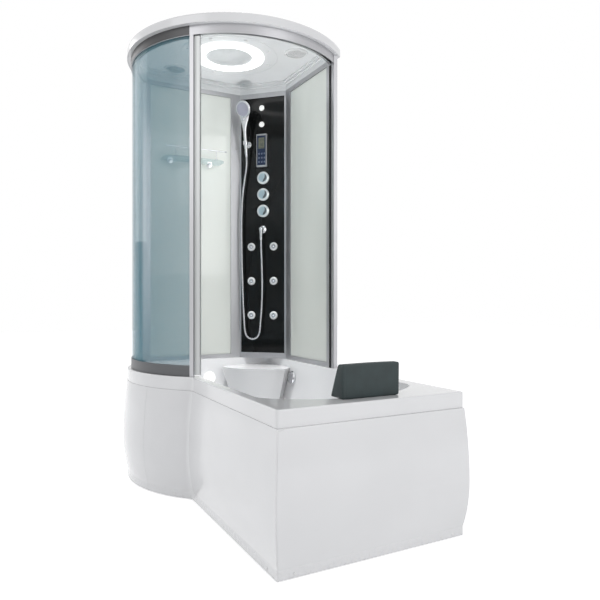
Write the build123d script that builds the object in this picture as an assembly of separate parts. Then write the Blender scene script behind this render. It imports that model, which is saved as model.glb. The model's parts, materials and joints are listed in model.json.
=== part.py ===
from build123d import *
from math import acos, asin, atan2, cos, degrees, pi, radians, sin, sqrt, tan
import os

# Jetted bath with a round shower cabin over one end.
# Millimetres, +Z up. +X is the foot end, -X the shower end against the room's
# end wall, -Y the open front, +Y the room's long wall. The origin is the
# centre of the base of the whole object's box.

# Bath outline
BATH_LENGTH = 1600
BATH_WIDTH = 770
RIM_HEIGHT = 538
RIM_BAND = 59
SHELL = 6
RIM_EDGE_RADIUS = 5
NEAR_CORNER_RADIUS = 12
CABIN_FROM_END = 330
CABIN_FROM_WALL = 388
ROUND_RADIUS = 562
WAIST_RADIUS = 60

# Aprons
FRONT_BELLY = 22
END_BELLY = 36
FRONT_STEP = 3
END_STEP = 9
BELLY_HEIGHT = 215
KICK_HEIGHT = 36
APRON_CLEARANCE = 3
APRON_THICKNESS = 4
APRON_LIP = 18
APRON_JOINT_ANGLE = -69
APRON_JOINT_GAP = 0.6
SEAM = 0.3
CAP_RADIUS = 6
CAP_PROUD = 1.6
CAP_HEIGHT = 15
FRONT_CAPS = (74, 469)
END_CAPS = (64, 722)
ROUND_CAP_ANGLE = -52

# Basin
FRONT_LEDGE = 38
WALL_LEDGE = 58
END_LEDGE = 33
FOOT_LEDGE = 83
FOOT_ARC = 450
ROUND_LEDGE = 57
BASIN_FLOOR = 112
BASIN_DRAFT = 6
FOOT_CORNER = 90
BASIN_CORNER = 60
SLOPE_TOP_INSET = 14
SLOPE_TOP_DROP = 20
SLOPE_RUN = 240
SEAT_DROP = 41
SEAT_WIDTH = 380
SEAT_DEPTH = 205
SEAT_BULGE = 55
SEAT_FOOT_WIDTH = 170
SEAT_FOOT_DEPTH = 105

# Cabin walls
END_WALL_DEPTH = 20
END_WALL_START = 799
LONG_WALL_SETBACK = 45
LONG_WALL_DEPTH = 25
LONG_WALL_END = 707
COLUMN_CUT = 203
WALL_TOP_DROP = 12
WALL_RAIL = 24
WALL_POST = 25
CORNER_POST = 55
WALL_GLASS = 5
WALL_GLASS_RECESS = 6
LEFT_PROFILE = (23, 39)
RIGHT_PROFILE = (47, 20)

# Round front
RAIL_RADIUS = 545
RAIL_WIDTH = 37
RAIL_HEIGHT = 44
RAIL_SHEET = 4
LEDGE_WIDTH = 12
LEDGE_RISE = 10
ROOF_BASE = 2100
GASKET = 1
BOTTOM_RAIL_HEIGHT = 48
BOTTOM_RAIL_WIDTH = 28
BOTTOM_RAIL_INNER = 21
BOTTOM_LIP_HEIGHT = 13
GLASS_THICKNESS = 5
GLASS_FIT = 0.3
DOOR_GAP = 6.7
DOOR_FLOOR_GAP = 3
DOOR_GLASS_DROP = 42
FIXED_POST_ANGLE = -44.9
FIXED_POST_SWEEP = 2
FIXED_POST_DEPTH = 11.5
DOOR_TAIL_ANGLE = -124.9
DOOR_EDGE_ANGLE = -40
DOOR_EDGE_SWEEP = 2.6
DOOR_GROOVE = (0.5, 0.35, 3)
DOOR_EDGE_OUT = 539
DOOR_EDGE_DROP = 48
DOOR_CLAMP = 2.5
CARRIER_DROP = 36
DOOR_STOP_GAP = 0.8
SEAL_THICKNESS = 4
SEAL_WIDTH = 12
ROLLER_RADIUS = 11
ROLLER_WIDTH = 5
ROLLER_INSET = 9
HANGER_SWEEP = 3.2
HANGER_THICKNESS = 4
AXLE_RADIUS = 2.5
RUNNING_FIT = 0.3
COVER_THICKNESS = 1.2
COVER_INSET = 2
COVER_END_ANGLE = -45

# Roof and ceiling
ROOF_RADIUS = 565
FASCIA = 42
ROOF_RISE = 38
ROOF_EDGE = 10
ROOF_SHELL = 5
CEILING_RISE = 40
CEILING_SHEET = 4
CEILING_RISERS = (18, 14)
CEILING_STEP_WIDTH = 10
RING_OFFSET = (58, -70)
GROOVE_RADIUS = 250
GROOVE_WIDTH = 3
GROOVE_DEPTH = 1.5
LAMP_RADIUS = 182
LAMP_DEPTH = 6
RAIN_RADIUS = 122
RAIN_DOME = 14
RAIN_RINGS = 4
RAIN_NOZZLE = 2
RAIN_PIPE = 10
NOZZLE_CIRCLE = 219
NOZZLE_COUNT = 8
NOZZLE_RADIUS = 9
BEZEL_RADIUS = 60
BEZEL_OPENING = 48
BEZEL_ALONG = 345
BEZEL_BACK = 58
BEZEL_SLEEVE = 12
GRILLE_RINGS = (14, 26, 38)
FAN_RADIUS = 44
FAN_BLADES = 7
FAN_HUB = 11
FAN_PIN = 2
FAN_DEPTH = 6
FAN_PITCH = 25

# Function column
PANEL_HALF = 134
PANEL_BOTTOM = 570
PANEL_TOP_DROP = 40
PANEL_THICKNESS = 6
COLUMN_FRAME_DEPTH = 25
KNOB_RADIUS = 36
KNOB_DEPTH = 20
KNOB_GAP = 1.5
KNOB_ALONG = 7
KNOB_HEIGHTS = (1589, 1492, 1396)
SPINDLE_RADIUS = 5
SPINDLE_FIT = 0.06
MIXER_RADIUS = 18
MIXER_BACK = 48
MIXER_BOSS = 14
MIXER_OVERHANG = 46
INLET_ASIDE = 40
INLET_RADIUS = 10.5
INLET_REACH = 43
INLET_COLLAR = 16
JET_ALONG = 69
JET_HEIGHTS = (1189, 988, 788)
JET_RING_RADIUS = 23.5
JET_RING_PROUD = 6
JET_SLEEVE = 17.5
JET_SLEEVE_DEPTH = 10
JET_BALL = 14
JET_BALL_OUT = 1
JET_FACE = 6
JET_TAIL = 6
JET_TAIL_LENGTH = 32
JET_BORE = 4
SPOT_ALONG = -5
SPOT_DROPS = (100, 196)
SPOT_RADIUS = 16
SPOT_PROUD = 3
CONTROL_ALONG = -2
CONTROL_BOTTOM = 1653
CONTROL_TOP = 1846
CONTROL_WIDTH = 64
CONTROL_DEPTH = 14
CONTROL_BORDER = 5
CONTROL_RECESS = 1.5
OUTLET_HEIGHT = 1289
OUTLET_ALONG = 2
OUTLET_RADIUS = 22
OUTLET_REACH = 30
OUTLET_DROP = 46
SPOUT_RADIUS = 11
HOSE_DIAMETER = 12
HOLDER_HEIGHT = 1789
HOLDER_BASE = 18
HOLDER_RING = 24
HOLDER_WALL = 5
HOLDER_SLOT = 14
SHOWER_ALONG = -86
SHOWER_FOOT = 1739
SHOWER_FOOT_OUT = 40
SHOWER_LEAN = 11
SHOWER_LENGTH = 240
HANDLE_FOOT = 8
HANDLE_NECK = 8.6
HANDLE_NECK_LENGTH = 75
HEAD_RADIUS = 48
SPRAY_RADIUS = 38
SPRAY_RINGS = 4
SPRAY_NOZZLE = 1.3
HEAD_TURN = -14
HEAD_DROOP = 22

# Hose points on the column: along it, height, out of it
HOSE_POINTS = (
    (OUTLET_ALONG, OUTLET_HEIGHT - OUTLET_DROP, OUTLET_REACH),
    (OUTLET_ALONG, 1190, OUTLET_REACH),
    (7, 1085, 29),
    (9, 935, 27),
    (4, 815, 26),
    (-3, 745, 25.5),
    (-8, 684, 25),
    (-25, 658, 24.5),
    (-53, 648, 24),
    (-82, 657, 24),
    (-99, 683, 24),
    (-105, 742, 24.5),
    (-111, 855, 25),
    (-116, 1005, 26),
    (-120, 1170, 27),
    (-121.5, 1335, 27),
    (-117, 1470, 25.5),
    (-102, 1585, 24),
    (-89.5, 1648, 26),
)
HOSE_LAST_RUN = 42

# Handle above its neck: distance from the foot, half width, half depth, set back
HANDLE_SWELL = (
    (105, 9.5, 9, 0),
    (145, 14, 9.5, 3),
    (180, 23, 8.5, 7.5),
    (212, 30, 6, 11.3),
)

# Shelf on the end wall
SHELF_HEIGHT = 1655
SHELF_START = 380
SHELF_LENGTH = 340
SHELF_DEPTH = 120
SHELF_GLASS = 6
SHELF_CORNER = 45
SHELF_RAIL_RISE = 50
SHELF_RAIL_RADIUS = 3
SHELF_POST_RADIUS = 2.4
SHELF_POST_INSET = 55
SHELF_CLAMP = 11
SHELF_CLAMP_REACH = 24

# Headrest
PILLOW_FROM_EDGE = 55
PILLOW_BASE = 86
PILLOW_TOP = 34
PILLOW_HEIGHT = 119
PILLOW_LENGTH = 242
PILLOW_FROM_WALL = 251
PILLOW_CROWN = 4
PILLOW_EDGE = 5
SOFT_GAP = 0.3

# Under the bath
FRAME_TUBE = 25
FRAME_RAIL_INSETS = (134, 156)
FRAME_FROM_WALL = 178
FRAME_FROM_FOOT = 342
END_POST_INSET = 22
FOOT_INSET = 40
FOOT_PAD_RADIUS = 22
FOOT_ROD_RADIUS = 6
HOLE_FIT = 0.3
NUT_FIT = 0.05
DRAIN_FROM_END = 355
DRAIN_FROM_WALL = 258
DRAIN_RADIUS = 24
DRAIN_BORE = 20
DRAIN_FLANGE = 35
DRAIN_PROUD = 2
TRAP_RADIUS = 40
TRAP_TOP = 80
TRAP_BOTTOM = 20
TRAP_WALL = 3
TRAP_NUT = 33
PLUG_STEM = 4
WASTE_HEIGHT = 50
WASTE_PIPE_RADIUS = 20
WASTE_REACH = 330
WASTE_SPIGOT = 50
WASTE_STEP = 1.5
OVERFLOW_HEIGHT = 448
OVERFLOW_RADIUS = 35
OVERFLOW_NECK = 18
OVERFLOW_DEPTH = 40
OVERFLOW_TUBE = 11
OVERFLOW_BEND = 30
OVERFLOW_SPINDLE = 4
BATH_LAMP_HEIGHT = 432
BATH_LAMP_ASIDE = 57
BATH_LAMP_RADIUS = 36
BATH_LAMP_NECK = 20
FITTING_NUT = 6
BATH_JET_HEIGHT = 250
BATH_JET_RADIUS = 28
BATH_JET_NECK = 18
BATH_JET_DEPTH = 24
BATH_JET_FROM_FOOT = 762
BATH_JET_SPACING = 200
BATH_JET_BORE = 7
SUCTION_FROM_FOOT = 662
SUCTION_HEIGHT = 160
SUCTION_RADIUS = 36
PIPE_RADIUS = 16
SUCTION_PIPE = 14
PUMP_FROM_FOOT = 142
PUMP_FROM_FRONT = 224
PUMP_HEIGHT = 110
PUMP_RADIUS = 72
VOLUTE_LENGTH = 60
VOLUTE_WALL = 5
PORT_LENGTH = 25
MOTOR_RADIUS = 58
MOTOR_LENGTH = 190
MOTOR_FINS = 12
SHAFT_RADIUS = 6
IMPELLER_RADIUS = 52
IMPELLER_VANES = 6

# Places worked out from the sizes above
X_WALL = -(BATH_LENGTH + END_BELLY) / 2
X_FOOT = X_WALL + BATH_LENGTH
FRONT_REACH = ROUND_RADIUS + FRONT_BELLY - (BATH_WIDTH - CABIN_FROM_WALL)
Y_WALL = (BATH_WIDTH + FRONT_REACH) / 2
Y_FRONT = Y_WALL - BATH_WIDTH
CABIN_X = X_WALL + CABIN_FROM_END
CABIN_Y = Y_WALL - CABIN_FROM_WALL
RIM_BOTTOM = RIM_HEIGHT - RIM_BAND
END_FACE = X_WALL + END_WALL_DEPTH
LONG_FACE = Y_WALL - LONG_WALL_SETBACK
BIG = 3000
WALL_TOP = ROOF_BASE - WALL_TOP_DROP
PANEL_TOP = ROOF_BASE - PANEL_TOP_DROP
SPOT_HEIGHTS = [ROOF_BASE - drop for drop in SPOT_DROPS]
CEILING = ROOF_BASE + CEILING_RISE
DOOR_GLASS_TOP = ROOF_BASE - DOOR_GLASS_DROP
DOOR_EDGE_TOP = ROOF_BASE - DOOR_EDGE_DROP
CARRIER_TOP = ROOF_BASE - CARRIER_DROP
FRAME_RAILS = (Y_FRONT + FRAME_RAIL_INSETS[0], Y_WALL - FRAME_RAIL_INSETS[1])
FRAME_START = X_WALL + FRAME_FROM_WALL
FRAME_END = X_FOOT - FRAME_FROM_FOOT
FOOT_XS = (FRAME_START + FOOT_INSET, (FRAME_START + FRAME_END) / 2, FRAME_END - FOOT_INSET)
BATH_JET_START = X_FOOT - BATH_JET_FROM_FOOT
SUCTION_X = X_FOOT - SUCTION_FROM_FOOT
PUMP_X = X_FOOT - PUMP_FROM_FOOT
PUMP_Y = Y_FRONT + PUMP_FROM_FRONT

CABIN_AXIS = Axis((CABIN_X, CABIN_Y, 0), (0, 0, 1))
COLUMN = Plane(
    origin=(END_FACE + COLUMN_CUT / 2, LONG_FACE - COLUMN_CUT / 2, 0),
    x_dir=(1, 1, 0),
    z_dir=(1, -1, 0),
)
COLUMN_HALF = COLUMN_CUT / sqrt(2)

nodes = {}


def keep(name, *solids):
    """Store one node as the separate solids given."""
    nodes[name] = solids


def tip(shape):
    """The one solid of a result."""
    found = shape.solids()
    assert len(found) == 1, f"{len(found)} solids where one was expected"
    return found[0]


def block(x0, x1, y0, y1, z0, z1):
    """A box between two corners."""
    size = Box(x1 - x0, y1 - y0, z1 - z0)
    return Pos((x0 + x1) / 2, (y0 + y1) / 2, (z0 + z1) / 2) * size


def rod(radius, length):
    """A cylinder standing on its base at the origin, along +Z."""
    return Cylinder(radius, length, align=(Align.CENTER, Align.CENTER, Align.MIN))


def on_circle(radius, angle):
    """A point on a circle about the cabin's axis."""
    return (CABIN_X + radius * cos(radians(angle)), CABIN_Y + radius * sin(radians(angle)))


def angle_at_x(radius, x):
    """Angle at the front where a cabin circle meets a plane of constant x."""
    return -degrees(acos((x - CABIN_X) / radius))


def angle_at_y(radius, y):
    """Angle at the open side where a cabin circle meets a plane of constant y."""
    return degrees(asin((y - CABIN_Y) / radius))


def round_plane(angle):
    """Upright plane through the cabin's axis: x outwards, y up."""
    out = Vector(cos(radians(angle)), sin(radians(angle)), 0)
    return Plane(origin=(CABIN_X, CABIN_Y, 0), x_dir=out, z_dir=out.cross(Vector(0, 0, 1)))


def around_cabin(points, start, end):
    """Turn a closed outline of (radius, height) about the cabin's axis."""
    face = round_plane(start) * make_face(Polyline(*points, close=True))
    return tip(revolve(face, CABIN_AXIS, end - start))


def sector(inner, outer, start, end, bottom, top):
    """A piece of a round wall about the cabin's axis."""
    outline = ((inner, bottom), (outer, bottom), (outer, top), (inner, top))
    return around_cabin(outline, start, end)


def raised(face, bottom, top):
    """A flat face raised into a vertical prism."""
    return Pos(0, 0, bottom) * extrude(face, amount=top - bottom)


def prism(points, bottom, top):
    """A vertical prism over a closed outline of (x, y)."""
    return raised(make_face(Polyline(*points, close=True)), bottom, top)


def on_column(shape, along=0, height=0, out=0):
    """Place a shape on the column's face: x along it, y up, z out of it."""
    return COLUMN.location * Pos(along, height, out) * shape


def turned(points):
    """A solid of revolution about +Z from a closed outline of (radius, height)."""
    face = make_face(Polyline(*points, close=True))
    return revolve(Plane.XZ * face, Axis.Z, 360)


def tube_along(path, radius):
    """A round bar along a wire."""
    plane = Plane(origin=path @ 0, z_dir=path % 0)
    return sweep(plane * Circle(radius), path)


# Bath outline as one closed wire, waist included
WAIST_X = CABIN_X + sqrt(
    (ROUND_RADIUS + WAIST_RADIUS) ** 2 - (CABIN_Y - Y_FRONT + WAIST_RADIUS) ** 2
)
WAIST_ANGLE = degrees(atan2(Y_FRONT - WAIST_RADIUS - CABIN_Y, WAIST_X - CABIN_X))
ROUND_START = angle_at_x(ROUND_RADIUS, X_WALL)


def rim_outline():
    """Outline of the rim: two room walls, foot end, front, waist and round end."""
    start = on_circle(ROUND_RADIUS, ROUND_START)
    middle = on_circle(ROUND_RADIUS, (ROUND_START + WAIST_ANGLE) / 2)
    waist = on_circle(ROUND_RADIUS, WAIST_ANGLE)
    bend = (90 + WAIST_ANGLE + 180) / 2
    waist_middle = (
        WAIST_X + WAIST_RADIUS * cos(radians(bend)),
        Y_FRONT - WAIST_RADIUS + WAIST_RADIUS * sin(radians(bend)),
    )
    edges = [
        ThreePointArc(start, middle, waist),
        ThreePointArc(waist, waist_middle, (WAIST_X, Y_FRONT)),
        Line((WAIST_X, Y_FRONT), (X_FOOT, Y_FRONT)),
        Line((X_FOOT, Y_FRONT), (X_FOOT, Y_WALL)),
        Line((X_FOOT, Y_WALL), (X_WALL, Y_WALL)),
        Line((X_WALL, Y_WALL), start),
    ]
    face = make_face(edges)
    near = face.vertices().sort_by_distance((X_FOOT, Y_FRONT, 0))[0]
    return fillet(near, NEAR_CORNER_RADIUS)


def basin_outline():
    """Outline of the basin at the rim."""
    front = Y_FRONT + FRONT_LEDGE
    back = Y_WALL - WALL_LEDGE
    middle = (front + back) / 2
    half = (back - front) / 2
    foot_x = X_FOOT - FOOT_LEDGE
    arc_x = foot_x - FOOT_ARC + sqrt(FOOT_ARC**2 - half**2)
    left = X_WALL + END_LEDGE
    radius = ROUND_RADIUS - ROUND_LEDGE
    waist_x = CABIN_X + sqrt(radius**2 - (CABIN_Y - front) ** 2)
    waist_angle = -degrees(asin((CABIN_Y - front) / radius))
    left_angle = angle_at_x(radius, left)
    left_y = on_circle(radius, left_angle)[1]
    edges = [
        Line((waist_x, front), (arc_x, front)),
        ThreePointArc((arc_x, front), (foot_x, middle), (arc_x, back)),
        Line((arc_x, back), (left, back)),
        Line((left, back), (left, left_y)),
        ThreePointArc(
            (left, left_y),
            on_circle(radius, (left_angle + waist_angle) / 2),
            (waist_x, front),
        ),
    ]
    face = make_face(edges)
    for corner, size in (
        ((arc_x, front, 0), FOOT_CORNER),
        ((arc_x, back, 0), FOOT_CORNER),
        ((left, back, 0), BASIN_CORNER),
        ((left, left_y, 0), BASIN_CORNER),
        ((waist_x, front, 0), BASIN_CORNER),
    ):
        vertex = face.vertices().sort_by_distance(corner)[0]
        face = fillet(vertex, size)
    return face


def seat_block(grow):
    """The corner seat under the column, drawn in towards the floor."""
    top = RIM_HEIGHT - SEAT_DROP - grow

    def outline(width, reach, bulge):
        half = width / 2 - grow
        reach = reach - grow
        return make_face(
            [
                Line((-half, -COLUMN_CUT), (-half, reach - bulge)),
                ThreePointArc((-half, reach - bulge), (0, reach), (half, reach - bulge)),
                Line((half, reach - bulge), (half, -COLUMN_CUT)),
                Line((half, -COLUMN_CUT), (-half, -COLUMN_CUT)),
            ]
        )

    flat = Plane(origin=COLUMN.origin, x_dir=(-1, -1, 0), z_dir=(0, 0, 1))
    upper = Pos(0, 0, top) * flat.location * outline(SEAT_WIDTH, SEAT_DEPTH, SEAT_BULGE)
    lower = Pos(0, 0, BASIN_FLOOR - 3 * SHELL) * flat.location * outline(
        SEAT_FOOT_WIDTH, SEAT_FOOT_DEPTH, SEAT_BULGE / 2
    )
    return loft([upper, lower], ruled=True)


def basin_hollow(grow):
    """The basin's inside, or with grow the outside of its wall."""
    outline = basin_outline()
    if grow:
        outline = offset(outline, grow)
    deep = RIM_HEIGHT - BASIN_FLOOR + grow
    body = Pos(0, 0, RIM_HEIGHT) * extrude(outline, amount=deep, dir=(0, 0, -1), taper=BASIN_DRAFT)
    foot_x = X_FOOT - FOOT_LEDGE - SLOPE_TOP_INSET + grow
    slope_top = RIM_HEIGHT - SLOPE_TOP_DROP
    wedge = make_face(
        Polyline(
            (foot_x, slope_top),
            (foot_x - SLOPE_RUN, BASIN_FLOOR - 2 * SHELL),
            (X_FOOT, BASIN_FLOOR - 2 * SHELL),
            (X_FOOT, slope_top),
            close=True,
        )
    )
    slope = Pos(0, Y_WALL, 0) * extrude(Plane.XZ * wedge, amount=BATH_WIDTH)
    return tip(body - slope - seat_block(grow))


def wall_inset(height):
    """How far the basin's wall has drawn in at a height."""
    return (RIM_HEIGHT - height) * tan(radians(BASIN_DRAFT))


# Fittings of the basin
DRAIN = (X_WALL + DRAIN_FROM_END, Y_WALL - DRAIN_FROM_WALL)
FLOOR_UNDER = BASIN_FLOOR - SHELL


def back_place(x, height):
    """Place on the basin's wall by the room, +Z into the basin."""
    y = Y_WALL - WALL_LEDGE - wall_inset(height)
    return Pos(x, y, height) * Rot(90 - BASIN_DRAFT, 0, 0)


def front_place(x, height):
    """Place on the basin's front wall, +Z into the basin."""
    y = Y_FRONT + FRONT_LEDGE + wall_inset(height)
    return Pos(x, y, height) * Rot(BASIN_DRAFT - 90, 0, 0)


def end_place(y, height):
    """Place on the basin's wall at the shower end, +Z into the basin."""
    x = X_WALL + END_LEDGE + wall_inset(height)
    return Pos(x, y, height) * Rot(0, 90 - BASIN_DRAFT, 0)


JET_XS = [BATH_JET_START + BATH_JET_SPACING * i for i in range(3)]
BACK_JETS = [back_place(x, BATH_JET_HEIGHT) for x in JET_XS]
FRONT_JETS = [front_place(x, BATH_JET_HEIGHT) for x in JET_XS]
OVERFLOW_PLACE = back_place(DRAIN[0], OVERFLOW_HEIGHT)
LAMP_PLACE = end_place(CABIN_Y - BATH_LAMP_ASIDE, BATH_LAMP_HEIGHT)
SUCTION_PLACE = front_place(SUCTION_X, SUCTION_HEIGHT)


def on_room_wall(edge):
    """Whether an edge lies on one of the two planes against the room."""
    middle = edge @ 0.5
    return abs(middle.X - X_WALL) < 1 or abs(middle.Y - Y_WALL) < 1


def bored(place, radius):
    """A cutter for a hole through the basin's wall at a place."""
    return place * Pos(0, 0, -4 * SHELL) * rod(radius + HOLE_FIT, 6 * SHELL)


def bath_shell():
    """Moulded shell: flat deck, skirt band and basin with its corner seat."""
    outline = rim_outline()
    rim = tip(raised(outline, RIM_BOTTOM, RIM_HEIGHT))
    exposed = [e for e in rim.edges().group_by(Axis.Z)[-1] if not on_room_wall(e)]
    rim = fillet(exposed, RIM_EDGE_RADIUS)
    rim = rim - raised(offset(outline, -SHELL), RIM_BOTTOM, RIM_HEIGHT - SHELL)
    shell = rim + basin_hollow(SHELL) - basin_hollow(0)
    for place in BACK_JETS + FRONT_JETS + [SUCTION_PLACE]:
        shell = shell - bored(place, BATH_JET_NECK)
    shell = shell - bored(OVERFLOW_PLACE, OVERFLOW_NECK)
    shell = shell - bored(LAMP_PLACE, BATH_LAMP_NECK)
    shell = shell - Pos(*DRAIN, FLOOR_UNDER - SHELL) * rod(DRAIN_RADIUS + HOLE_FIT, 4 * SHELL)
    return tip(shell)


keep("bath_shell", bath_shell())


# Aprons. Their section is (outwards from the rim's face, height).
APRON_TOP = RIM_BOTTOM - SEAM
LIP_UNDER = APRON_TOP - APRON_THICKNESS


def belly_radius(drawn_in, height):
    """Radius of an upright arc that draws in by this much at a height."""
    rise = height - BELLY_HEIGHT
    return (drawn_in**2 + rise**2) / (2 * drawn_in)


def belly_out(radius, belly, height):
    """How far out such an arc stands at a height."""
    return belly - radius + sqrt(radius**2 - (height - BELLY_HEIGHT) ** 2)


def belly_arcs(belly, step, shift, top):
    """The two tangent arcs of an apron, drawn in by shift, up to a height."""
    lower = belly_radius(belly, KICK_HEIGHT)
    upper = belly_radius(belly - step, APRON_TOP)
    low_middle = (KICK_HEIGHT + BELLY_HEIGHT) / 2
    high_middle = (top + BELLY_HEIGHT) / 2
    peak = (belly - shift, BELLY_HEIGHT)
    return [
        ThreePointArc(
            (-shift, KICK_HEIGHT), (belly_out(lower, belly, low_middle) - shift, low_middle), peak
        ),
        ThreePointArc(
            peak,
            (belly_out(upper, belly, high_middle) - shift, high_middle),
            (belly_out(upper, belly, top) - shift, top),
        ),
    ]


def apron_face(belly, step):
    """Section of an apron: kick strip, two tangent arcs and a lip under the rim."""
    inner = belly_arcs(belly, step, APRON_THICKNESS, LIP_UNDER)
    lip_start = inner[1] @ 1
    edges = belly_arcs(belly, step, 0, APRON_TOP) + inner
    edges += [
        Line((0, APRON_CLEARANCE), (0, KICK_HEIGHT)),
        Line((step, APRON_TOP), (-APRON_LIP, APRON_TOP)),
        Line((-APRON_LIP, APRON_TOP), (-APRON_LIP, LIP_UNDER)),
        Line((-APRON_LIP, LIP_UNDER), (lip_start.X, LIP_UNDER)),
        Line((-APRON_THICKNESS, KICK_HEIGHT), (-APRON_THICKNESS, APRON_CLEARANCE)),
        Line((-APRON_THICKNESS, APRON_CLEARANCE), (0, APRON_CLEARANCE)),
    ]
    return make_face(edges)


def belly_block(belly, step, shift):
    """Section of everything behind an apron's face drawn in by shift."""
    arcs = belly_arcs(belly, step, shift, APRON_TOP)
    edges = arcs + [
        Line((-shift, 0), (-shift, KICK_HEIGHT)),
        Line((step - shift, APRON_TOP), (step - shift, RIM_HEIGHT)),
        Line((step - shift, RIM_HEIGHT), (-BATH_LENGTH, RIM_HEIGHT)),
        Line((-BATH_LENGTH, RIM_HEIGHT), (-BATH_LENGTH, 0)),
        Line((-BATH_LENGTH, 0), (-shift, 0)),
    ]
    return make_face(edges)


def round_run(face, start, end):
    """Turn an apron's section about the cabin's axis."""
    section = round_plane(start) * Pos(ROUND_RADIUS, 0, 0) * face
    return revolve(section, CABIN_AXIS, end - start)


def waist_run(face):
    """Turn an apron's section about the waist's axis, from the straight front."""
    axis = Axis((WAIST_X, Y_FRONT - WAIST_RADIUS, 0), (0, 0, 1))
    plane = Plane(origin=(WAIST_X, Y_FRONT, 0), x_dir=(0, -1, 0), z_dir=(-1, 0, 0))
    return revolve(plane * face, axis, WAIST_ANGLE + 90)


def front_run(face, start, end):
    """Run an apron's section along the straight front."""
    plane = Plane(origin=(start, Y_FRONT, 0), x_dir=(0, -1, 0), z_dir=(-1, 0, 0))
    return extrude(plane * face, amount=start - end)


def end_run(face, start, end):
    """Run an apron's section along the foot end."""
    plane = Plane(origin=(X_FOOT, start, 0), x_dir=(1, 0, 0), z_dir=(0, -1, 0))
    return extrude(plane * face, amount=start - end)


def apron_round():
    """Panel round the shower end, from the room's wall to the joint."""
    joint = APRON_JOINT_ANGLE - degrees(APRON_JOINT_GAP / ROUND_RADIUS)
    panel = round_run(apron_face(FRONT_BELLY, FRONT_STEP), ROUND_START - 12, joint)
    return tip(panel & block(X_WALL, BIG, -BIG, BIG, 0, BIG))


def apron_front():
    """Panel from the joint through the waist to the near corner."""
    section = apron_face(FRONT_BELLY, FRONT_STEP)
    panel = round_run(section, APRON_JOINT_ANGLE, WAIST_ANGLE)
    panel = panel + waist_run(section)
    panel = panel + front_run(section, WAIST_X, X_FOOT + 2 * END_BELLY)
    behind_end = end_run(belly_block(END_BELLY, END_STEP, 0), -BATH_LENGTH, BATH_LENGTH)
    return tip(panel & behind_end)


def apron_end():
    """Panel across the foot end, butted behind the front panel."""
    panel = end_run(apron_face(END_BELLY, END_STEP), Y_FRONT - 2 * FRONT_BELLY, Y_WALL)
    behind = belly_block(FRONT_BELLY, FRONT_STEP, APRON_THICKNESS + SEAM)
    behind_front = front_run(behind, -BATH_LENGTH, BATH_LENGTH)
    lip_back = Y_FRONT + APRON_LIP + SEAM
    lip_room = block(-BIG, BIG, Y_FRONT - BIG, lip_back, LIP_UNDER - SEAM, BIG)
    return tip((panel & behind_front) - lip_room)


keep("apron_round", apron_round())
keep("apron_front", apron_front())
keep("apron_end", apron_end())


# Covers over the apron screws in the kick strip
CAP_PLACES = [Pos(X_FOOT - x, Y_FRONT, CAP_HEIGHT) * Rot(90, 0, 0) for x in FRONT_CAPS]
CAP_PLACES += [Pos(X_FOOT, Y_FRONT + y, CAP_HEIGHT) * Rot(0, 90, 0) for y in END_CAPS]
CAP_PLACES += [
    Pos(*on_circle(ROUND_RADIUS, ROUND_CAP_ANGLE), CAP_HEIGHT)
    * Rot(0, 0, ROUND_CAP_ANGLE)
    * Rot(0, 90, 0)
]


def screw_caps():
    """Button caps with a stem through the apron."""
    cap = turned(
        (
            (0, -APRON_THICKNESS),
            (CAP_RADIUS / 2, -APRON_THICKNESS),
            (CAP_RADIUS / 2, 0),
            (CAP_RADIUS, 0),
            (CAP_RADIUS, CAP_PROUD / 2),
            (CAP_RADIUS - CAP_PROUD, CAP_PROUD),
            (0, CAP_PROUD),
        )
    )
    return [tip(place * cap) for place in CAP_PLACES]


for place in CAP_PLACES:
    cutter = place * Pos(0, 0, -2 * APRON_THICKNESS)
    cutter = cutter * rod(CAP_RADIUS / 2 + HOLE_FIT, 3 * APRON_THICKNESS)
    for apron in ("apron_round", "apron_front", "apron_end"):
        nodes[apron] = (tip(nodes[apron][0] - cutter),)
keep("screw_caps", *screw_caps())


# Under the bath
FRAME_LOW = FLOOR_UNDER - FRAME_TUBE
END_POST_X = X_FOOT - END_POST_INSET - FRAME_TUBE
END_POST_YS = (Y_FRONT + END_POST_INSET, Y_WALL - END_POST_INSET - FRAME_TUBE)
FEET = [(x, y) for x in FOOT_XS for y in FRAME_RAILS]
FEET += [(END_POST_X + FRAME_TUBE / 2, END_POST_YS[0] + 2 * FRAME_TUBE)]
FEET += [(END_POST_X + FRAME_TUBE / 2, END_POST_YS[1] - FRAME_TUBE)]


def support_frame():
    """Welded tube frame under the floor, and the end frame under the rim."""
    half = FRAME_TUBE / 2
    low, top = FRAME_LOW, FLOOR_UNDER
    middle = (FRAME_START + FRAME_END - FRAME_TUBE) / 2
    main = block(middle, middle + FRAME_TUBE, *FRAME_RAILS, low, top)
    for x in (FRAME_START, FRAME_END - FRAME_TUBE):
        main = main + block(x, x + FRAME_TUBE, *FRAME_RAILS, low, top)
    for y in FRAME_RAILS:
        main = main + block(FRAME_START, FRAME_END, y - half, y + half, low, top)
    x = END_POST_X
    end = block(x, x + FRAME_TUBE, END_POST_YS[0], END_POST_YS[1] + FRAME_TUBE, low, top)
    for y in END_POST_YS:
        end = end + block(x, x + FRAME_TUBE, y, y + FRAME_TUBE, low, RIM_HEIGHT - SHELL)
    for x, y in FEET:
        hole = Pos(x, y, low - 1) * rod(FOOT_ROD_RADIUS + HOLE_FIT, FRAME_TUBE - 1)
        main = main - hole
        end = end - hole
    return tip(main), tip(end)


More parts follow.
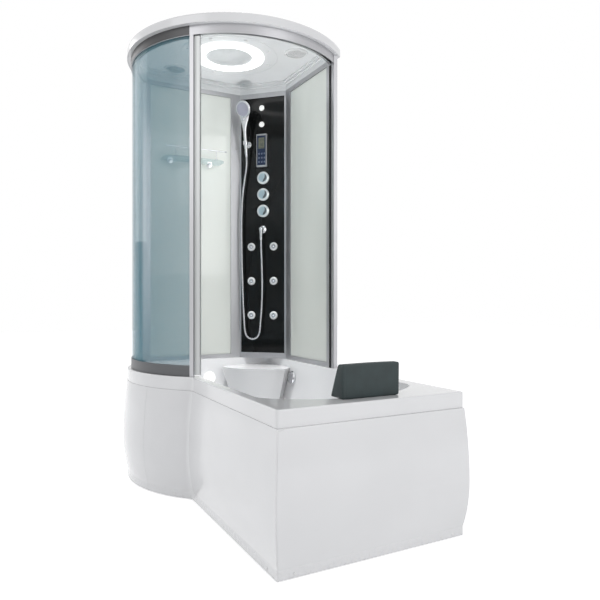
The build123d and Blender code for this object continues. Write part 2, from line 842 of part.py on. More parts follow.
def levelling_foot(x, y):
    """A threaded foot with its pad, and the locknut that carries the tube."""
    rod_top = FRAME_LOW + FRAME_TUBE - 6
    spindle = turned(
        (
            (0, 0),
            (FOOT_PAD_RADIUS, 0),
            (FOOT_PAD_RADIUS, 4),
            (FOOT_ROD_RADIUS + 3, 9),
            (FOOT_ROD_RADIUS, 9),
            (FOOT_ROD_RADIUS, rod_top),
            (0, rod_top),
        )
    )
    nut = raised(RegularPolygon(FOOT_ROD_RADIUS + 4, 6), FRAME_LOW - 8, FRAME_LOW)
    nut = nut - rod(FOOT_ROD_RADIUS + NUT_FIT, FRAME_LOW)
    return [tip(Pos(x, y, 0) * spindle), tip(Pos(x, y, 0) * nut)]


keep("support_frame", *support_frame())
keep("levelling_feet", *[piece for x, y in FEET for piece in levelling_foot(x, y)])


def trap():
    """Trap under the drain: flange, neck, cup and the outlet to the room's waste."""
    outer = turned(
        (
            (0, TRAP_BOTTOM),
            (TRAP_RADIUS, TRAP_BOTTOM),
            (TRAP_RADIUS, TRAP_TOP),
            (TRAP_NUT, TRAP_TOP),
            (TRAP_NUT, FLOOR_UNDER),
            (DRAIN_RADIUS, FLOOR_UNDER),
            (DRAIN_RADIUS, BASIN_FLOOR),
            (DRAIN_FLANGE, BASIN_FLOOR),
            (DRAIN_FLANGE - DRAIN_PROUD, BASIN_FLOOR + DRAIN_PROUD),
            (0, BASIN_FLOOR + DRAIN_PROUD),
        )
    )
    hollow = turned(
        (
            (0, TRAP_BOTTOM + TRAP_WALL),
            (TRAP_RADIUS - TRAP_WALL, TRAP_BOTTOM + TRAP_WALL),
            (TRAP_RADIUS - TRAP_WALL, TRAP_TOP - TRAP_WALL),
            (DRAIN_BORE, TRAP_TOP - TRAP_WALL),
            (DRAIN_BORE, BASIN_FLOOR + 2 * DRAIN_PROUD),
            (0, BASIN_FLOOR + 2 * DRAIN_PROUD),
        )
    )
    outwards = Pos(0, 0, WASTE_HEIGHT) * Rot(0, -90, 0)
    outlet = outwards * rod(WASTE_PIPE_RADIUS, WASTE_REACH)
    outlet = outlet + outwards * rod(WASTE_PIPE_RADIUS + WASTE_STEP, WASTE_REACH - WASTE_SPIGOT)
    bore = outwards * rod(WASTE_PIPE_RADIUS - TRAP_WALL, WASTE_REACH + 1)
    to_wall = Pos(0, 0, WASTE_HEIGHT) * Rot(-90, 0, 0)
    side = to_wall * rod(OVERFLOW_TUBE + TRAP_WALL, TRAP_RADIUS + OVERFLOW_TUBE)
    side_bore = to_wall * rod(OVERFLOW_TUBE - TRAP_WALL, 2 * TRAP_RADIUS)
    guide = Pos(0, 0, TRAP_BOTTOM) * rod(PLUG_STEM + TRAP_WALL, TRAP_TOP - TRAP_BOTTOM - 20)
    guide_bore = Pos(0, 0, TRAP_BOTTOM + TRAP_WALL) * rod(PLUG_STEM + SPINDLE_FIT, TRAP_TOP)
    body = outer + outlet + side - hollow - bore - side_bore
    return tip(Pos(*DRAIN, 0) * (body + guide - guide_bore))


def overflow_body():
    """Overflow elbow behind the basin's wall, with its pipe down to the trap."""
    deep = Pos(0, 0, -OVERFLOW_DEPTH)
    neck = deep * rod(OVERFLOW_NECK, OVERFLOW_DEPTH)
    flange = rod(OVERFLOW_RADIUS - 5, TRAP_WALL)
    nut = Pos(0, 0, -SHELL - FITTING_NUT) * rod(OVERFLOW_NECK + FITTING_NUT, FITTING_NUT)
    bore = Pos(0, 0, -OVERFLOW_DEPTH / 2) * rod(OVERFLOW_SPINDLE + SPINDLE_FIT, OVERFLOW_DEPTH)
    start = (OVERFLOW_PLACE * Pos(0, 0, -OVERFLOW_DEPTH * 0.8)).position
    path = FilletPolyline(
        (start.X, start.Y, start.Z),
        (start.X, start.Y, WASTE_HEIGHT),
        (start.X, DRAIN[1] + TRAP_RADIUS + OVERFLOW_TUBE, WASTE_HEIGHT),
        radius=OVERFLOW_BEND,
    )
    body = OVERFLOW_PLACE * (neck + flange + nut)
    return tip(body + tube_along(path, OVERFLOW_TUBE) - OVERFLOW_PLACE * bore)


keep("waste_overflow", trap(), overflow_body())


def drain_plug():
    """Pop-up plug with its stem, resting on the drain's flange."""
    seat = BASIN_FLOOR + DRAIN_PROUD + SEAM
    foot = TRAP_BOTTOM + 2 * TRAP_WALL
    plug = turned(
        (
            (0, foot),
            (PLUG_STEM, foot),
            (PLUG_STEM, seat),
            (DRAIN_FLANGE - 5, seat),
            (DRAIN_FLANGE - 5, seat + 2),
            (DRAIN_FLANGE / 2, seat + 5),
            (0, seat + 6),
        )
    )
    return tip(Pos(*DRAIN, 0) * plug)


def overflow_knob():
    """Round cover of the overflow, turned to lift the plug."""
    base = TRAP_WALL + SEAM
    cover = turned(
        (
            (0, base),
            (OVERFLOW_RADIUS, base),
            (OVERFLOW_RADIUS, base + 6),
            (OVERFLOW_RADIUS - 4, base + 12),
            (OVERFLOW_RADIUS - 9, base + 13),
            (OVERFLOW_RADIUS - 11, base + 11),
            (0, base + 12),
        )
    )
    deep = OVERFLOW_DEPTH / 2 - 2
    spindle = Pos(0, 0, -deep) * rod(OVERFLOW_SPINDLE, deep + base)
    return tip(OVERFLOW_PLACE * (cover + spindle))


keep("drain_plug", drain_plug())
keep("overflow_knob", overflow_knob())


def wall_fitting(place, radius, neck, depth, proud):
    """A round fitting through the basin's wall: face, neck and back nut."""
    face = turned(
        (
            (0, -SHELL - depth),
            (neck, -SHELL - depth),
            (neck, 0),
            (radius, 0),
            (radius - 2, proud * 0.7),
            (radius / 2, proud),
            (0, proud),
        )
    )
    nut = Pos(0, 0, -SHELL - FITTING_NUT) * rod(neck + FITTING_NUT, FITTING_NUT)
    return tip(place * (face + nut))


def bath_jets():
    """Fixed water jets, three in each long wall."""
    mouth = Pos(0, 0, -BATH_JET_DEPTH / 2) * rod(BATH_JET_BORE, BATH_JET_DEPTH)
    jets = []
    for place in BACK_JETS + FRONT_JETS:
        jet = wall_fitting(place, BATH_JET_RADIUS, BATH_JET_NECK, BATH_JET_DEPTH, 6)
        jets.append(tip(jet - place * mouth))
    return jets


keep("bath_jets", *bath_jets())
keep("bath_lamp", wall_fitting(LAMP_PLACE, BATH_LAMP_RADIUS, BATH_LAMP_NECK, BATH_JET_DEPTH / 2, 9))


def pump_pipes():
    """Pressure pipe past both rows of jets, and the suction fitting with its pipe."""
    behind = Pos(0, 0, -SHELL - BATH_JET_DEPTH - PIPE_RADIUS)
    front = (FRONT_JETS[0] * behind).position
    back = (BACK_JETS[0] * behind).position
    start = JET_XS[0] - 2 * PIPE_RADIUS
    loop = FilletPolyline(
        (start, front.Y, front.Z),
        (PUMP_X, front.Y, front.Z),
        (PUMP_X, back.Y, back.Z),
        (start, back.Y, back.Z),
        radius=3 * PIPE_RADIUS,
    )
    outlet_top = PUMP_HEIGHT + PUMP_RADIUS + PORT_LENGTH
    riser = Pos(PUMP_X, PUMP_Y + VOLUTE_LENGTH / 2, outlet_top)
    pressure = tube_along(loop, PIPE_RADIUS) + riser * rod(SUCTION_PIPE, front.Z - outlet_top)
    fitting = wall_fitting(SUCTION_PLACE, SUCTION_RADIUS, BATH_JET_NECK, BATH_JET_DEPTH, 8)
    inlet = (SUCTION_PLACE * Pos(0, 0, BATH_JET_NECK / 2 - SHELL - BATH_JET_DEPTH)).position
    suction = FilletPolyline(
        (inlet.X, inlet.Y, inlet.Z),
        (PUMP_X, inlet.Y, PUMP_HEIGHT),
        (PUMP_X, PUMP_Y - PORT_LENGTH, PUMP_HEIGHT),
        radius=2 * SUCTION_PIPE,
    )
    return tip(pressure), tip(fitting + tube_along(suction, SUCTION_PIPE))


keep("pump_pipes", *pump_pipes())

PUMP = Pos(PUMP_X, PUMP_Y, PUMP_HEIGHT) * Rot(-90, 0, 0)


def pump_volute():
    """Wet end: round casing, inlet on the shaft's axis and upward outlet."""
    shaft_hole = SHAFT_RADIUS + RUNNING_FIT
    casing = turned(
        (
            (0, 0),
            (PUMP_RADIUS - 10, 0),
            (PUMP_RADIUS, 10),
            (PUMP_RADIUS, VOLUTE_LENGTH),
            (shaft_hole, VOLUTE_LENGTH),
            (shaft_hole, VOLUTE_LENGTH - VOLUTE_WALL),
            (PUMP_RADIUS - VOLUTE_WALL, VOLUTE_LENGTH - VOLUTE_WALL),
            (PUMP_RADIUS - VOLUTE_WALL, 10),
            (PUMP_RADIUS - 10 - VOLUTE_WALL, VOLUTE_WALL),
            (0, VOLUTE_WALL),
        )
    )
    inlet = Pos(0, 0, -PORT_LENGTH)
    up = Pos(0, 0, VOLUTE_LENGTH / 2) * Rot(90, 0, 0) * Pos(0, 0, PUMP_RADIUS - 2 * VOLUTE_WALL)
    body = casing + inlet * rod(PIPE_RADIUS + 3, PORT_LENGTH)
    body = body + up * rod(PIPE_RADIUS + 3, PORT_LENGTH + 2 * VOLUTE_WALL)
    room = VOLUTE_LENGTH - 2 * VOLUTE_WALL - 5
    cavity = Pos(0, 0, VOLUTE_WALL + 5) * rod(PUMP_RADIUS - VOLUTE_WALL, room)
    body = body - cavity - inlet * rod(SUCTION_PIPE, PORT_LENGTH + 2 * VOLUTE_WALL)
    return tip(PUMP * (body - up * rod(SUCTION_PIPE, PORT_LENGTH + 3 * VOLUTE_WALL)))


def pump_motor():
    """Finned motor with its fan cowl and terminal box, on a floor plate."""
    start = VOLUTE_LENGTH
    motor = Pos(0, 0, start) * rod(MOTOR_RADIUS - 4, MOTOR_LENGTH)
    pitch = (MOTOR_LENGTH - 60) / MOTOR_FINS
    for index in range(MOTOR_FINS):
        motor = motor + Pos(0, 0, start + 14 + index * pitch) * rod(MOTOR_RADIUS, pitch / 2)
    motor = motor + Pos(0, 0, start + MOTOR_LENGTH - 40) * rod(MOTOR_RADIUS + 2, 40)
    front = PUMP_Y + start + 20
    back = front + MOTOR_LENGTH - 70
    plate = block(PUMP_X - 55, PUMP_X + 55, front, back, 0, 5)
    legs = block(PUMP_X - 40, PUMP_X + 40, front, back, 5, PUMP_HEIGHT - 30)
    gap = block(PUMP_X - 34, PUMP_X + 34, front, back, 5, PUMP_HEIGHT - MOTOR_RADIUS - 2)
    box_top = PUMP_HEIGHT + MOTOR_RADIUS + 24
    box = block(PUMP_X - 30, PUMP_X + 30, front + 10, front + 80, PUMP_HEIGHT + 30, box_top)
    shaft_room = Pos(0, 0, start - 1) * rod(SHAFT_RADIUS + RUNNING_FIT, MOTOR_LENGTH - 38)
    return tip(PUMP * motor + plate + (legs - gap) + box - PUMP * shaft_room)


def pump_impeller():
    """Impeller with its vanes on the motor's shaft."""
    disc = 3 * VOLUTE_WALL + 8
    shaft = Pos(0, 0, disc) * rod(SHAFT_RADIUS, VOLUTE_LENGTH + MOTOR_LENGTH - 45 - disc)
    wheel = shaft + Pos(0, 0, disc) * rod(IMPELLER_RADIUS, 5)
    vane = Pos(0, 0, disc - 4) * block(8, IMPELLER_RADIUS - 2, -1.5, 1.5, 0, 5)
    for index in range(IMPELLER_VANES):
        wheel = wheel + Rot(0, 0, 360 / IMPELLER_VANES * index) * vane
    return tip(PUMP * wheel)


keep("pump_volute", pump_volute())
keep("pump_motor", pump_motor())
keep("pump_impeller", pump_impeller())


def headrest():
    """Foam headrest on the foot end's deck: a leaning wedge with crowned faces."""
    back = X_FOOT - PILLOW_FROM_EDGE
    low = RIM_HEIGHT + SOFT_GAP
    high = low + PILLOW_HEIGHT
    middle = (low + high) / 2
    front_low = back - PILLOW_BASE
    front_high = back - PILLOW_TOP
    bulged = (front_low + front_high) / 2 - PILLOW_CROWN
    side = make_face(
        [
            Line((front_low, low), (back, low)),
            ThreePointArc((back, low), (back + PILLOW_CROWN, middle), (back, high)),
            Line((back, high), (front_high, high)),
            ThreePointArc((front_high, high), (bulged, middle), (front_low, low)),
        ]
    )
    end = Y_WALL - PILLOW_FROM_WALL
    start = end - PILLOW_LENGTH
    wedge = Pos(0, end, 0) * extrude(Plane.XZ * side, amount=PILLOW_LENGTH)
    far = front_low - 2 * PILLOW_CROWN
    near = back + 2 * PILLOW_CROWN
    across = (far + near) / 2
    low_side = start + PILLOW_CROWN
    high_side = end - PILLOW_CROWN
    plan = make_face(
        [
            ThreePointArc((far, low_side), (across, start), (near, low_side)),
            Line((near, low_side), (near, high_side)),
            ThreePointArc((near, high_side), (across, end), (far, high_side)),
            Line((far, high_side), (far, low_side)),
        ]
    )
    pad = tip(wedge & raised(plan, low, high + PILLOW_CROWN))
    soft = [e for e in pad.edges() if (e @ 0.5).Z > low + 1]
    return fillet(soft, PILLOW_EDGE)


keep("headrest", headrest())


# Walls of the cabin
WALL_START = Y_WALL - END_WALL_START
WALL_CORNER = LONG_FACE - COLUMN_CUT
LONG_START = END_FACE + COLUMN_CUT
LONG_END = X_WALL + LONG_WALL_END
LONG_BACK = LONG_FACE + LONG_WALL_DEPTH


def end_wall_frame():
    """Frame of the end wall, its corner post cut back to the column's side."""
    plan = (
        (X_WALL, WALL_START),
        (END_FACE, WALL_START),
        (END_FACE, WALL_CORNER - SEAM),
        (X_WALL, WALL_CORNER + END_WALL_DEPTH - SEAM),
    )
    window = block(
        X_WALL - 1,
        END_FACE + 1,
        WALL_START + WALL_POST,
        WALL_CORNER - CORNER_POST,
        RIM_HEIGHT + WALL_RAIL,
        WALL_TOP - WALL_RAIL,
    )
    return tip(prism(plan, RIM_HEIGHT, WALL_TOP) - window)


def back_wall_frame():
    """Frame of the long wall, its corner post cut back to the column's side."""
    plan = (
        (LONG_START + SEAM, LONG_FACE),
        (LONG_END, LONG_FACE),
        (LONG_END, LONG_BACK),
        (LONG_START - LONG_WALL_DEPTH + SEAM, LONG_BACK),
    )
    window = block(
        LONG_START + CORNER_POST,
        LONG_END - WALL_POST,
        LONG_FACE - 1,
        LONG_BACK + 1,
        RIM_HEIGHT + WALL_RAIL,
        WALL_TOP - WALL_RAIL,
    )
    return tip(prism(plan, RIM_HEIGHT, WALL_TOP) - window)


def wall_glass():
    """The two frosted panes, one in each wall frame."""
    low = RIM_HEIGHT + WALL_RAIL + GLASS_FIT
    high = WALL_TOP - WALL_RAIL - GLASS_FIT
    end_front = END_FACE - WALL_GLASS_RECESS
    long_front = LONG_FACE + WALL_GLASS_RECESS
    end_pane = block(
        end_front - WALL_GLASS,
        end_front,
        WALL_START + WALL_POST + GLASS_FIT,
        WALL_CORNER - CORNER_POST - GLASS_FIT,
        low,
        high,
    )
    long_pane = block(
        LONG_START + CORNER_POST + GLASS_FIT,
        LONG_END - WALL_POST - GLASS_FIT,
        long_front,
        long_front + WALL_GLASS,
        low,
        high,
    )
    return tip(end_pane), tip(long_pane)


def profile_boxes(grow):
    """The two upright profiles where the round front meets the walls."""
    deep, wide = LEFT_PROFILE
    back = WALL_START - SEAM + grow
    front = back - wide - 2 * grow
    left = block(X_WALL, X_WALL + deep + grow, front, back, RIM_HEIGHT, ROOF_BASE)
    wide, deep = RIGHT_PROFILE
    start = LONG_END + SEAM - grow
    end = start + wide + 2 * grow
    right = block(start, end, LONG_FACE - grow, LONG_FACE + deep + grow, RIM_HEIGHT, ROOF_BASE)
    return left, right


keep("end_wall_frame", end_wall_frame())
keep("back_wall_frame", back_wall_frame())
keep("wall_glass", *wall_glass())
keep("wall_profiles", *[tip(box) for box in profile_boxes(0)])


# Round front. Its rails and glass turn about the cabin's axis.
LEFT_FACE = X_WALL + LEFT_PROFILE[0]
RAIL_INNER = RAIL_RADIUS - RAIL_WIDTH
RAIL_BASE = ROOF_BASE - RAIL_HEIGHT
RAIL_UNDER_TOP = ROOF_BASE - RAIL_SHEET
LEDGE_BASE = RAIL_BASE + LEDGE_RISE
LEDGE_TOP = LEDGE_BASE + RAIL_SHEET
LEDGE_OUTER = RAIL_INNER + LEDGE_WIDTH
BOTTOM_RAIL_BASE = RIM_HEIGHT + GASKET
CHANNEL_FLOOR = BOTTOM_RAIL_BASE + RAIL_SHEET
FIXED_OUTER = RAIL_RADIUS - RAIL_SHEET - GLASS_FIT
FIXED_INNER = FIXED_OUTER - GLASS_THICKNESS
DOOR_OUTER = FIXED_INNER - DOOR_GAP
DOOR_INNER = DOOR_OUTER - GLASS_THICKNESS
FRONT_START = -130
FRONT_END = 46
FIXED_END_ANGLE = FIXED_POST_ANGLE - degrees(GLASS_FIT / RAIL_RADIUS)


def between_profiles(solid):
    """Cut a round piece off at the two wall profiles."""
    room = block(LEFT_FACE + SEAM, BIG, -BIG, LONG_FACE - SEAM, 0, BIG)
    return tip(solid & room)


def top_rail():
    """Rail under the roof: outer wall, top, inner wall and the rollers' ledge."""
    outer = RAIL_RADIUS - RAIL_SHEET
    inner = RAIL_INNER + RAIL_SHEET
    section = (
        (outer, RAIL_BASE),
        (RAIL_RADIUS, RAIL_BASE),
        (RAIL_RADIUS, ROOF_BASE),
        (RAIL_INNER, ROOF_BASE),
        (RAIL_INNER, LEDGE_BASE),
        (LEDGE_OUTER, LEDGE_BASE),
        (LEDGE_OUTER, LEDGE_TOP),
        (inner, LEDGE_TOP),
        (inner, RAIL_UNDER_TOP),
        (outer, RAIL_UNDER_TOP),
    )
    return between_profiles(around_cabin(section, FRONT_START, FRONT_END))


def bottom_rail():
    """Rail on the rim under the fixed glass, with the door's guide lip."""
    outer = RAIL_RADIUS - RAIL_SHEET
    glass_side = FIXED_INNER - GLASS_FIT
    door_side = glass_side - RAIL_SHEET
    back = RAIL_RADIUS - BOTTOM_RAIL_WIDTH
    lip = back + RAIL_SHEET
    section = (
        (back, BOTTOM_RAIL_BASE),
        (RAIL_RADIUS, BOTTOM_RAIL_BASE),
        (RAIL_RADIUS, BOTTOM_RAIL_BASE + BOTTOM_RAIL_HEIGHT),
        (outer, BOTTOM_RAIL_BASE + BOTTOM_RAIL_HEIGHT),
        (outer, CHANNEL_FLOOR),
        (glass_side, CHANNEL_FLOOR),
        (glass_side, BOTTOM_RAIL_BASE + BOTTOM_RAIL_INNER),
        (door_side, BOTTOM_RAIL_BASE + BOTTOM_RAIL_INNER),
        (door_side, CHANNEL_FLOOR),
        (lip, CHANNEL_FLOOR),
        (lip, BOTTOM_RAIL_BASE + BOTTOM_LIP_HEIGHT),
        (back, BOTTOM_RAIL_BASE + BOTTOM_LIP_HEIGHT),
    )
    return between_profiles(around_cabin(section, FRONT_START, FIXED_END_ANGLE))


def rail_cover():
    """Dark trim strip on the top rail over the fixed glass."""
    strip = sector(
        RAIL_RADIUS,
        RAIL_RADIUS + COVER_THICKNESS,
        FRONT_START,
        COVER_END_ANGLE,
        RAIL_BASE + COVER_INSET,
        ROOF_BASE - COVER_INSET,
    )
    return between_profiles(strip)


def fixed_glass():
    """Curved pane between the left profile and the fixed post."""
    top = RAIL_UNDER_TOP - GLASS_FIT
    pane = sector(FIXED_INNER, FIXED_OUTER, FRONT_START, FIXED_END_ANGLE, CHANNEL_FLOOR, top)
    return between_profiles(pane)


def fixed_post():
    """Upright at the end of the fixed glass, between the rim and the top rail."""
    return sector(
        RAIL_RADIUS - FIXED_POST_DEPTH,
        RAIL_RADIUS,
        FIXED_POST_ANGLE,
        FIXED_POST_ANGLE + FIXED_POST_SWEEP,
        RIM_HEIGHT,
        RAIL_BASE - SEAM,
    )


def frame_seals():
    """Gasket under the bottom rail, and the strip on the profile beside the closed door."""
    gasket = sector(
        RAIL_RADIUS - BOTTOM_RAIL_WIDTH,
        RAIL_RADIUS,
        FRONT_START,
        FIXED_END_ANGLE,
        RIM_HEIGHT,
        BOTTOM_RAIL_BASE,
    )
    start = LONG_END + SEAM + SEAL_WIDTH / 2
    front = LONG_FACE - SEAL_THICKNESS
    strip = block(start, start + SEAL_WIDTH, front, LONG_FACE, RIM_HEIGHT, RAIL_BASE - SEAM)
    return between_profiles(gasket), tip(strip)


keep("top_rail", top_rail())
keep("bottom_rail", bottom_rail())
keep("rail_cover", rail_cover())
keep("fixed_glass", fixed_glass())
keep("fixed_post", fixed_post())
keep("frame_seals", *frame_seals())


# The door opens over the fixed glass and runs on two rollers.
DOOR_BASE = CHANNEL_FLOOR + DOOR_FLOOR_GAP
DOOR_PROFILE_START = DOOR_EDGE_ANGLE - DOOR_EDGE_SWEEP
CLAMP_INNER = DOOR_INNER - DOOR_CLAMP
CLAMP_OUTER = DOOR_OUTER + DOOR_CLAMP
ROLLER_ANGLES = (DOOR_TAIL_ANGLE + ROLLER_INSET, DOOR_EDGE_ANGLE - ROLLER_INSET)
ROLLER_INNER = RAIL_INNER + RAIL_SHEET + 1
ROLLER_HEIGHT = LEDGE_TOP + ROLLER_RADIUS + RUNNING_FIT
HANGER_INNER = ROLLER_INNER + ROLLER_WIDTH + HANGER_THICKNESS
DOOR_TRAVEL = angle_at_y(DOOR_EDGE_OUT, LONG_FACE - SEAL_THICKNESS - DOOR_STOP_GAP) - DOOR_EDGE_ANGLE


def door_glass():
    """Curved pane of the door."""
    end = DOOR_PROFILE_START - degrees(GLASS_FIT / DOOR_OUTER)
    return sector(DOOR_INNER, DOOR_OUTER, DOOR_TAIL_ANGLE, end, DOOR_BASE, DOOR_GLASS_TOP)


def door_frame():
    """Leading profile, the clamp along the top of the glass, hangers and axles."""
    profile = sector(
        CLAMP_INNER, DOOR_EDGE_OUT, DOOR_PROFILE_START, DOOR_EDGE_ANGLE, DOOR_BASE, DOOR_EDGE_TOP
    )
    clamp = sector(
        CLAMP_INNER, CLAMP_OUTER, DOOR_TAIL_ANGLE, DOOR_EDGE_ANGLE, DOOR_EDGE_TOP, CARRIER_TOP
    )
    groove = sector(
        DOOR_INNER - GLASS_FIT,
        DOOR_OUTER + GLASS_FIT,
        DOOR_TAIL_ANGLE - 1,
        DOOR_PROFILE_START,
        DOOR_EDGE_TOP - 1,
        DOOR_GLASS_TOP + GLASS_FIT,
    )
    into, sweep_angle, deep = DOOR_GROOVE
    line = sector(
        DOOR_EDGE_OUT - deep,
        DOOR_EDGE_OUT + 1,
        DOOR_PROFILE_START + into,
        DOOR_PROFILE_START + into + sweep_angle,
        DOOR_BASE - 1,
        DOOR_EDGE_TOP - deep,
    )
    frame = (profile - line) + (clamp - groove)
    for angle in ROLLER_ANGLES:
        hanger = sector(
            HANGER_INNER,
            HANGER_INNER + HANGER_THICKNESS,
            angle - HANGER_SWEEP / 2,
            angle + HANGER_SWEEP / 2,
            CARRIER_TOP - 1,
            ROLLER_HEIGHT + ROLLER_RADIUS - 1,
        )
        axle_length = HANGER_INNER + 1 - ROLLER_INNER
        axle = roller_place(angle, ROLLER_INNER) * rod(AXLE_RADIUS, axle_length)
        frame = frame + hanger + axle
    return tip(frame)


def roller_place(angle, radius):
    """Place on a roller's axle, +Z outwards from the cabin's axis."""
    x, y = on_circle(radius, angle)
    return Pos(x, y, ROLLER_HEIGHT) * Rot(0, 0, angle) * Rot(0, 90, 0)


def door_roller(angle):
    """A roller that runs on the top rail's ledge."""
    roller = rod(ROLLER_RADIUS, ROLLER_WIDTH) - rod(AXLE_RADIUS + SPINDLE_FIT, ROLLER_WIDTH)
    return tip(roller_place(angle, ROLLER_INNER) * roller)


keep("door_glass", door_glass())
keep("door_frame", door_frame())
for number, angle in enumerate(ROLLER_ANGLES, 1):
    keep(f"door_roller_{number}", door_roller(angle))
print("door travel", round(DOOR_TRAVEL, 3))
print("roller ratio", round(-(ROLLER_INNER + ROLLER_WIDTH / 2) / ROLLER_RADIUS, 4))


# Roof and ceiling
def roof_plan(inset):
    """Plan of the roof: the cabin's circle cut off by the two room walls."""
    radius = ROOF_RADIUS - inset
    left = X_WALL + inset
    back = Y_WALL - inset
    start = on_circle(radius, angle_at_x(radius, left))
    end = on_circle(radius, angle_at_y(radius, back))
    middle = on_circle(radius, (angle_at_x(radius, left) + angle_at_y(radius, back)) / 2)
    return make_face(
        [
            ThreePointArc(start, middle, end),
            Line(end, (left, back)),
            Line((left, back), start),
        ]
    )


def cabin_plan(inset):
    """Plan of the cabin's inside under the roof, drawn in all round."""
    radius = RAIL_INNER
    start = on_circle(radius, angle_at_x(radius, END_FACE))
    end = on_circle(radius, angle_at_y(radius, LONG_FACE))
    middle = on_circle(radius, (angle_at_x(radius, END_FACE) + angle_at_y(radius, LONG_FACE)) / 2)
    face = make_face(
        [
            ThreePointArc(start, middle, end),
            Line(end, (LONG_START, LONG_FACE)),
            Line((LONG_START, LONG_FACE), (END_FACE, WALL_CORNER)),
            Line((END_FACE, WALL_CORNER), start),
        ]
    )
    return offset(face, -inset, kind=Kind.INTERSECTION)


def dome(inset):
    """Solid under the roof's skin drawn in by inset: fascia, edge and dome."""
    radius = ROOF_RADIUS - inset
    shoulder = ROOF_BASE + FASCIA - ROOF_EDGE - inset
    top = ROOF_BASE + FASCIA + ROOF_RISE - inset
    inner = radius - ROOF_EDGE
    edge_top = ROOF_BASE + FASCIA - inset
    bulge = ROOF_EDGE * (1 - sqrt(0.5))
    rise = top - edge_top
    dome_radius = (inner**2 + rise**2) / (2 * rise)
    half_way = top - dome_radius + sqrt(dome_radius**2 - inner**2 / 4)
    section = make_face(
        [
            Line((0, ROOF_BASE), (radius, ROOF_BASE)),
            Line((radius, ROOF_BASE), (radius, shoulder)),
            ThreePointArc((radius, shoulder), (radius - bulge, edge_top - bulge), (inner, edge_top)),
            ThreePointArc((inner, edge_top), (inner / 2, half_way), (0, top)),
            Line((0, top), (0, ROOF_BASE)),
        ]
    )
    whole = revolve(round_plane(0) * section, CABIN_AXIS, 360)
    return whole & raised(roof_plan(inset), ROOF_BASE, top + 1)


RING_X = CABIN_X + RING_OFFSET[0]
RING_Y = CABIN_Y + RING_OFFSET[1]
UNDER_RING = Pos(RING_X, RING_Y, CEILING) * Rot(180, 0, 0)
BEZEL_PLACES = [
    UNDER_RING * Rot(0, 0, -45) * Pos(side * BEZEL_ALONG, -BEZEL_BACK, 0) * Rot(0, 0, 45)
    for side in (-1, 1)
]
NOZZLE_PLACES = [
    UNDER_RING * Rot(0, 0, 360 / NOZZLE_COUNT * index) * Pos(NOZZLE_CIRCLE, 0, 0)
    for index in range(NOZZLE_COUNT)
]


def ceiling():
    """Stepped tray under the roof, with flanges down to the wall frames."""
    outer = roof_plan(ROOF_SHELL + SEAM)
    top = CEILING + CEILING_SHEET
    tray = raised(outer, ROOF_BASE, top)
    high_air = raised(offset(outer, 50), 0, top - ROOF_BASE + 1)
    low = ROOF_BASE
    rises = CEILING_RISERS + (CEILING - ROOF_BASE - sum(CEILING_RISERS),)
    for index, rise in enumerate(rises):
        inset = 1 + index * CEILING_STEP_WIDTH
        tray = tray - raised(cabin_plan(inset), low, low + rise)
        outside = high_air - raised(cabin_plan(inset - CEILING_SHEET), 0, top)
        tray = tray - Pos(0, 0, low + CEILING_SHEET) * outside
        low = low + rise
    inside = prism(
        (
            (END_FACE, -BIG),
            (END_FACE, WALL_CORNER),
            (LONG_START, LONG_FACE),
            (BIG, LONG_FACE),
            (BIG, -BIG),
        ),
        WALL_TOP - 1,
        ROOF_BASE,
    )
    flange = raised(outer, WALL_TOP, ROOF_BASE) - inside
    for box in profile_boxes(SEAM):
        flange = flange - box
    left_end = block(X_WALL - 1, END_FACE + 1, -BIG, WALL_START, 0, ROOF_BASE)
    right_end = block(LONG_END, BIG, LONG_FACE - 1, BIG, 0, ROOF_BASE)
    tray = tray + (flange - left_end - right_end)
    groove = rod(GROOVE_RADIUS + GROOVE_WIDTH / 2, GROOVE_DEPTH + 1)
    groove = groove - rod(GROOVE_RADIUS - GROOVE_WIDTH / 2, GROOVE_DEPTH + 1)
    tray = tray - UNDER_RING * Pos(0, 0, -GROOVE_DEPTH) * groove
    through = Pos(0, 0, -2 * CEILING_SHEET)
    tray = tray - UNDER_RING * through * rod(RAIN_PIPE + HOLE_FIT, 4 * CEILING_SHEET)
    for place in BEZEL_PLACES:
        tray = tray - place * through * rod(BEZEL_OPENING + 2 + HOLE_FIT, 4 * CEILING_SHEET)
    for place in NOZZLE_PLACES:
        tray = tray - place * through * rod(NOZZLE_RADIUS / 2 + HOLE_FIT, 4 * CEILING_SHEET)
    return tip(tray)


def ceiling_lamp():
    """Flat lit ring round the rain disc."""
    inner = RAIN_RADIUS + HOLE_FIT
    ring = turned(
        (
            (inner, 0),
            (LAMP_RADIUS, 0),
            (LAMP_RADIUS, LAMP_DEPTH / 2),
            (LAMP_RADIUS - LAMP_DEPTH / 2, LAMP_DEPTH),
            (inner, LAMP_DEPTH),
        )
    )
    return tip(UNDER_RING * ring)


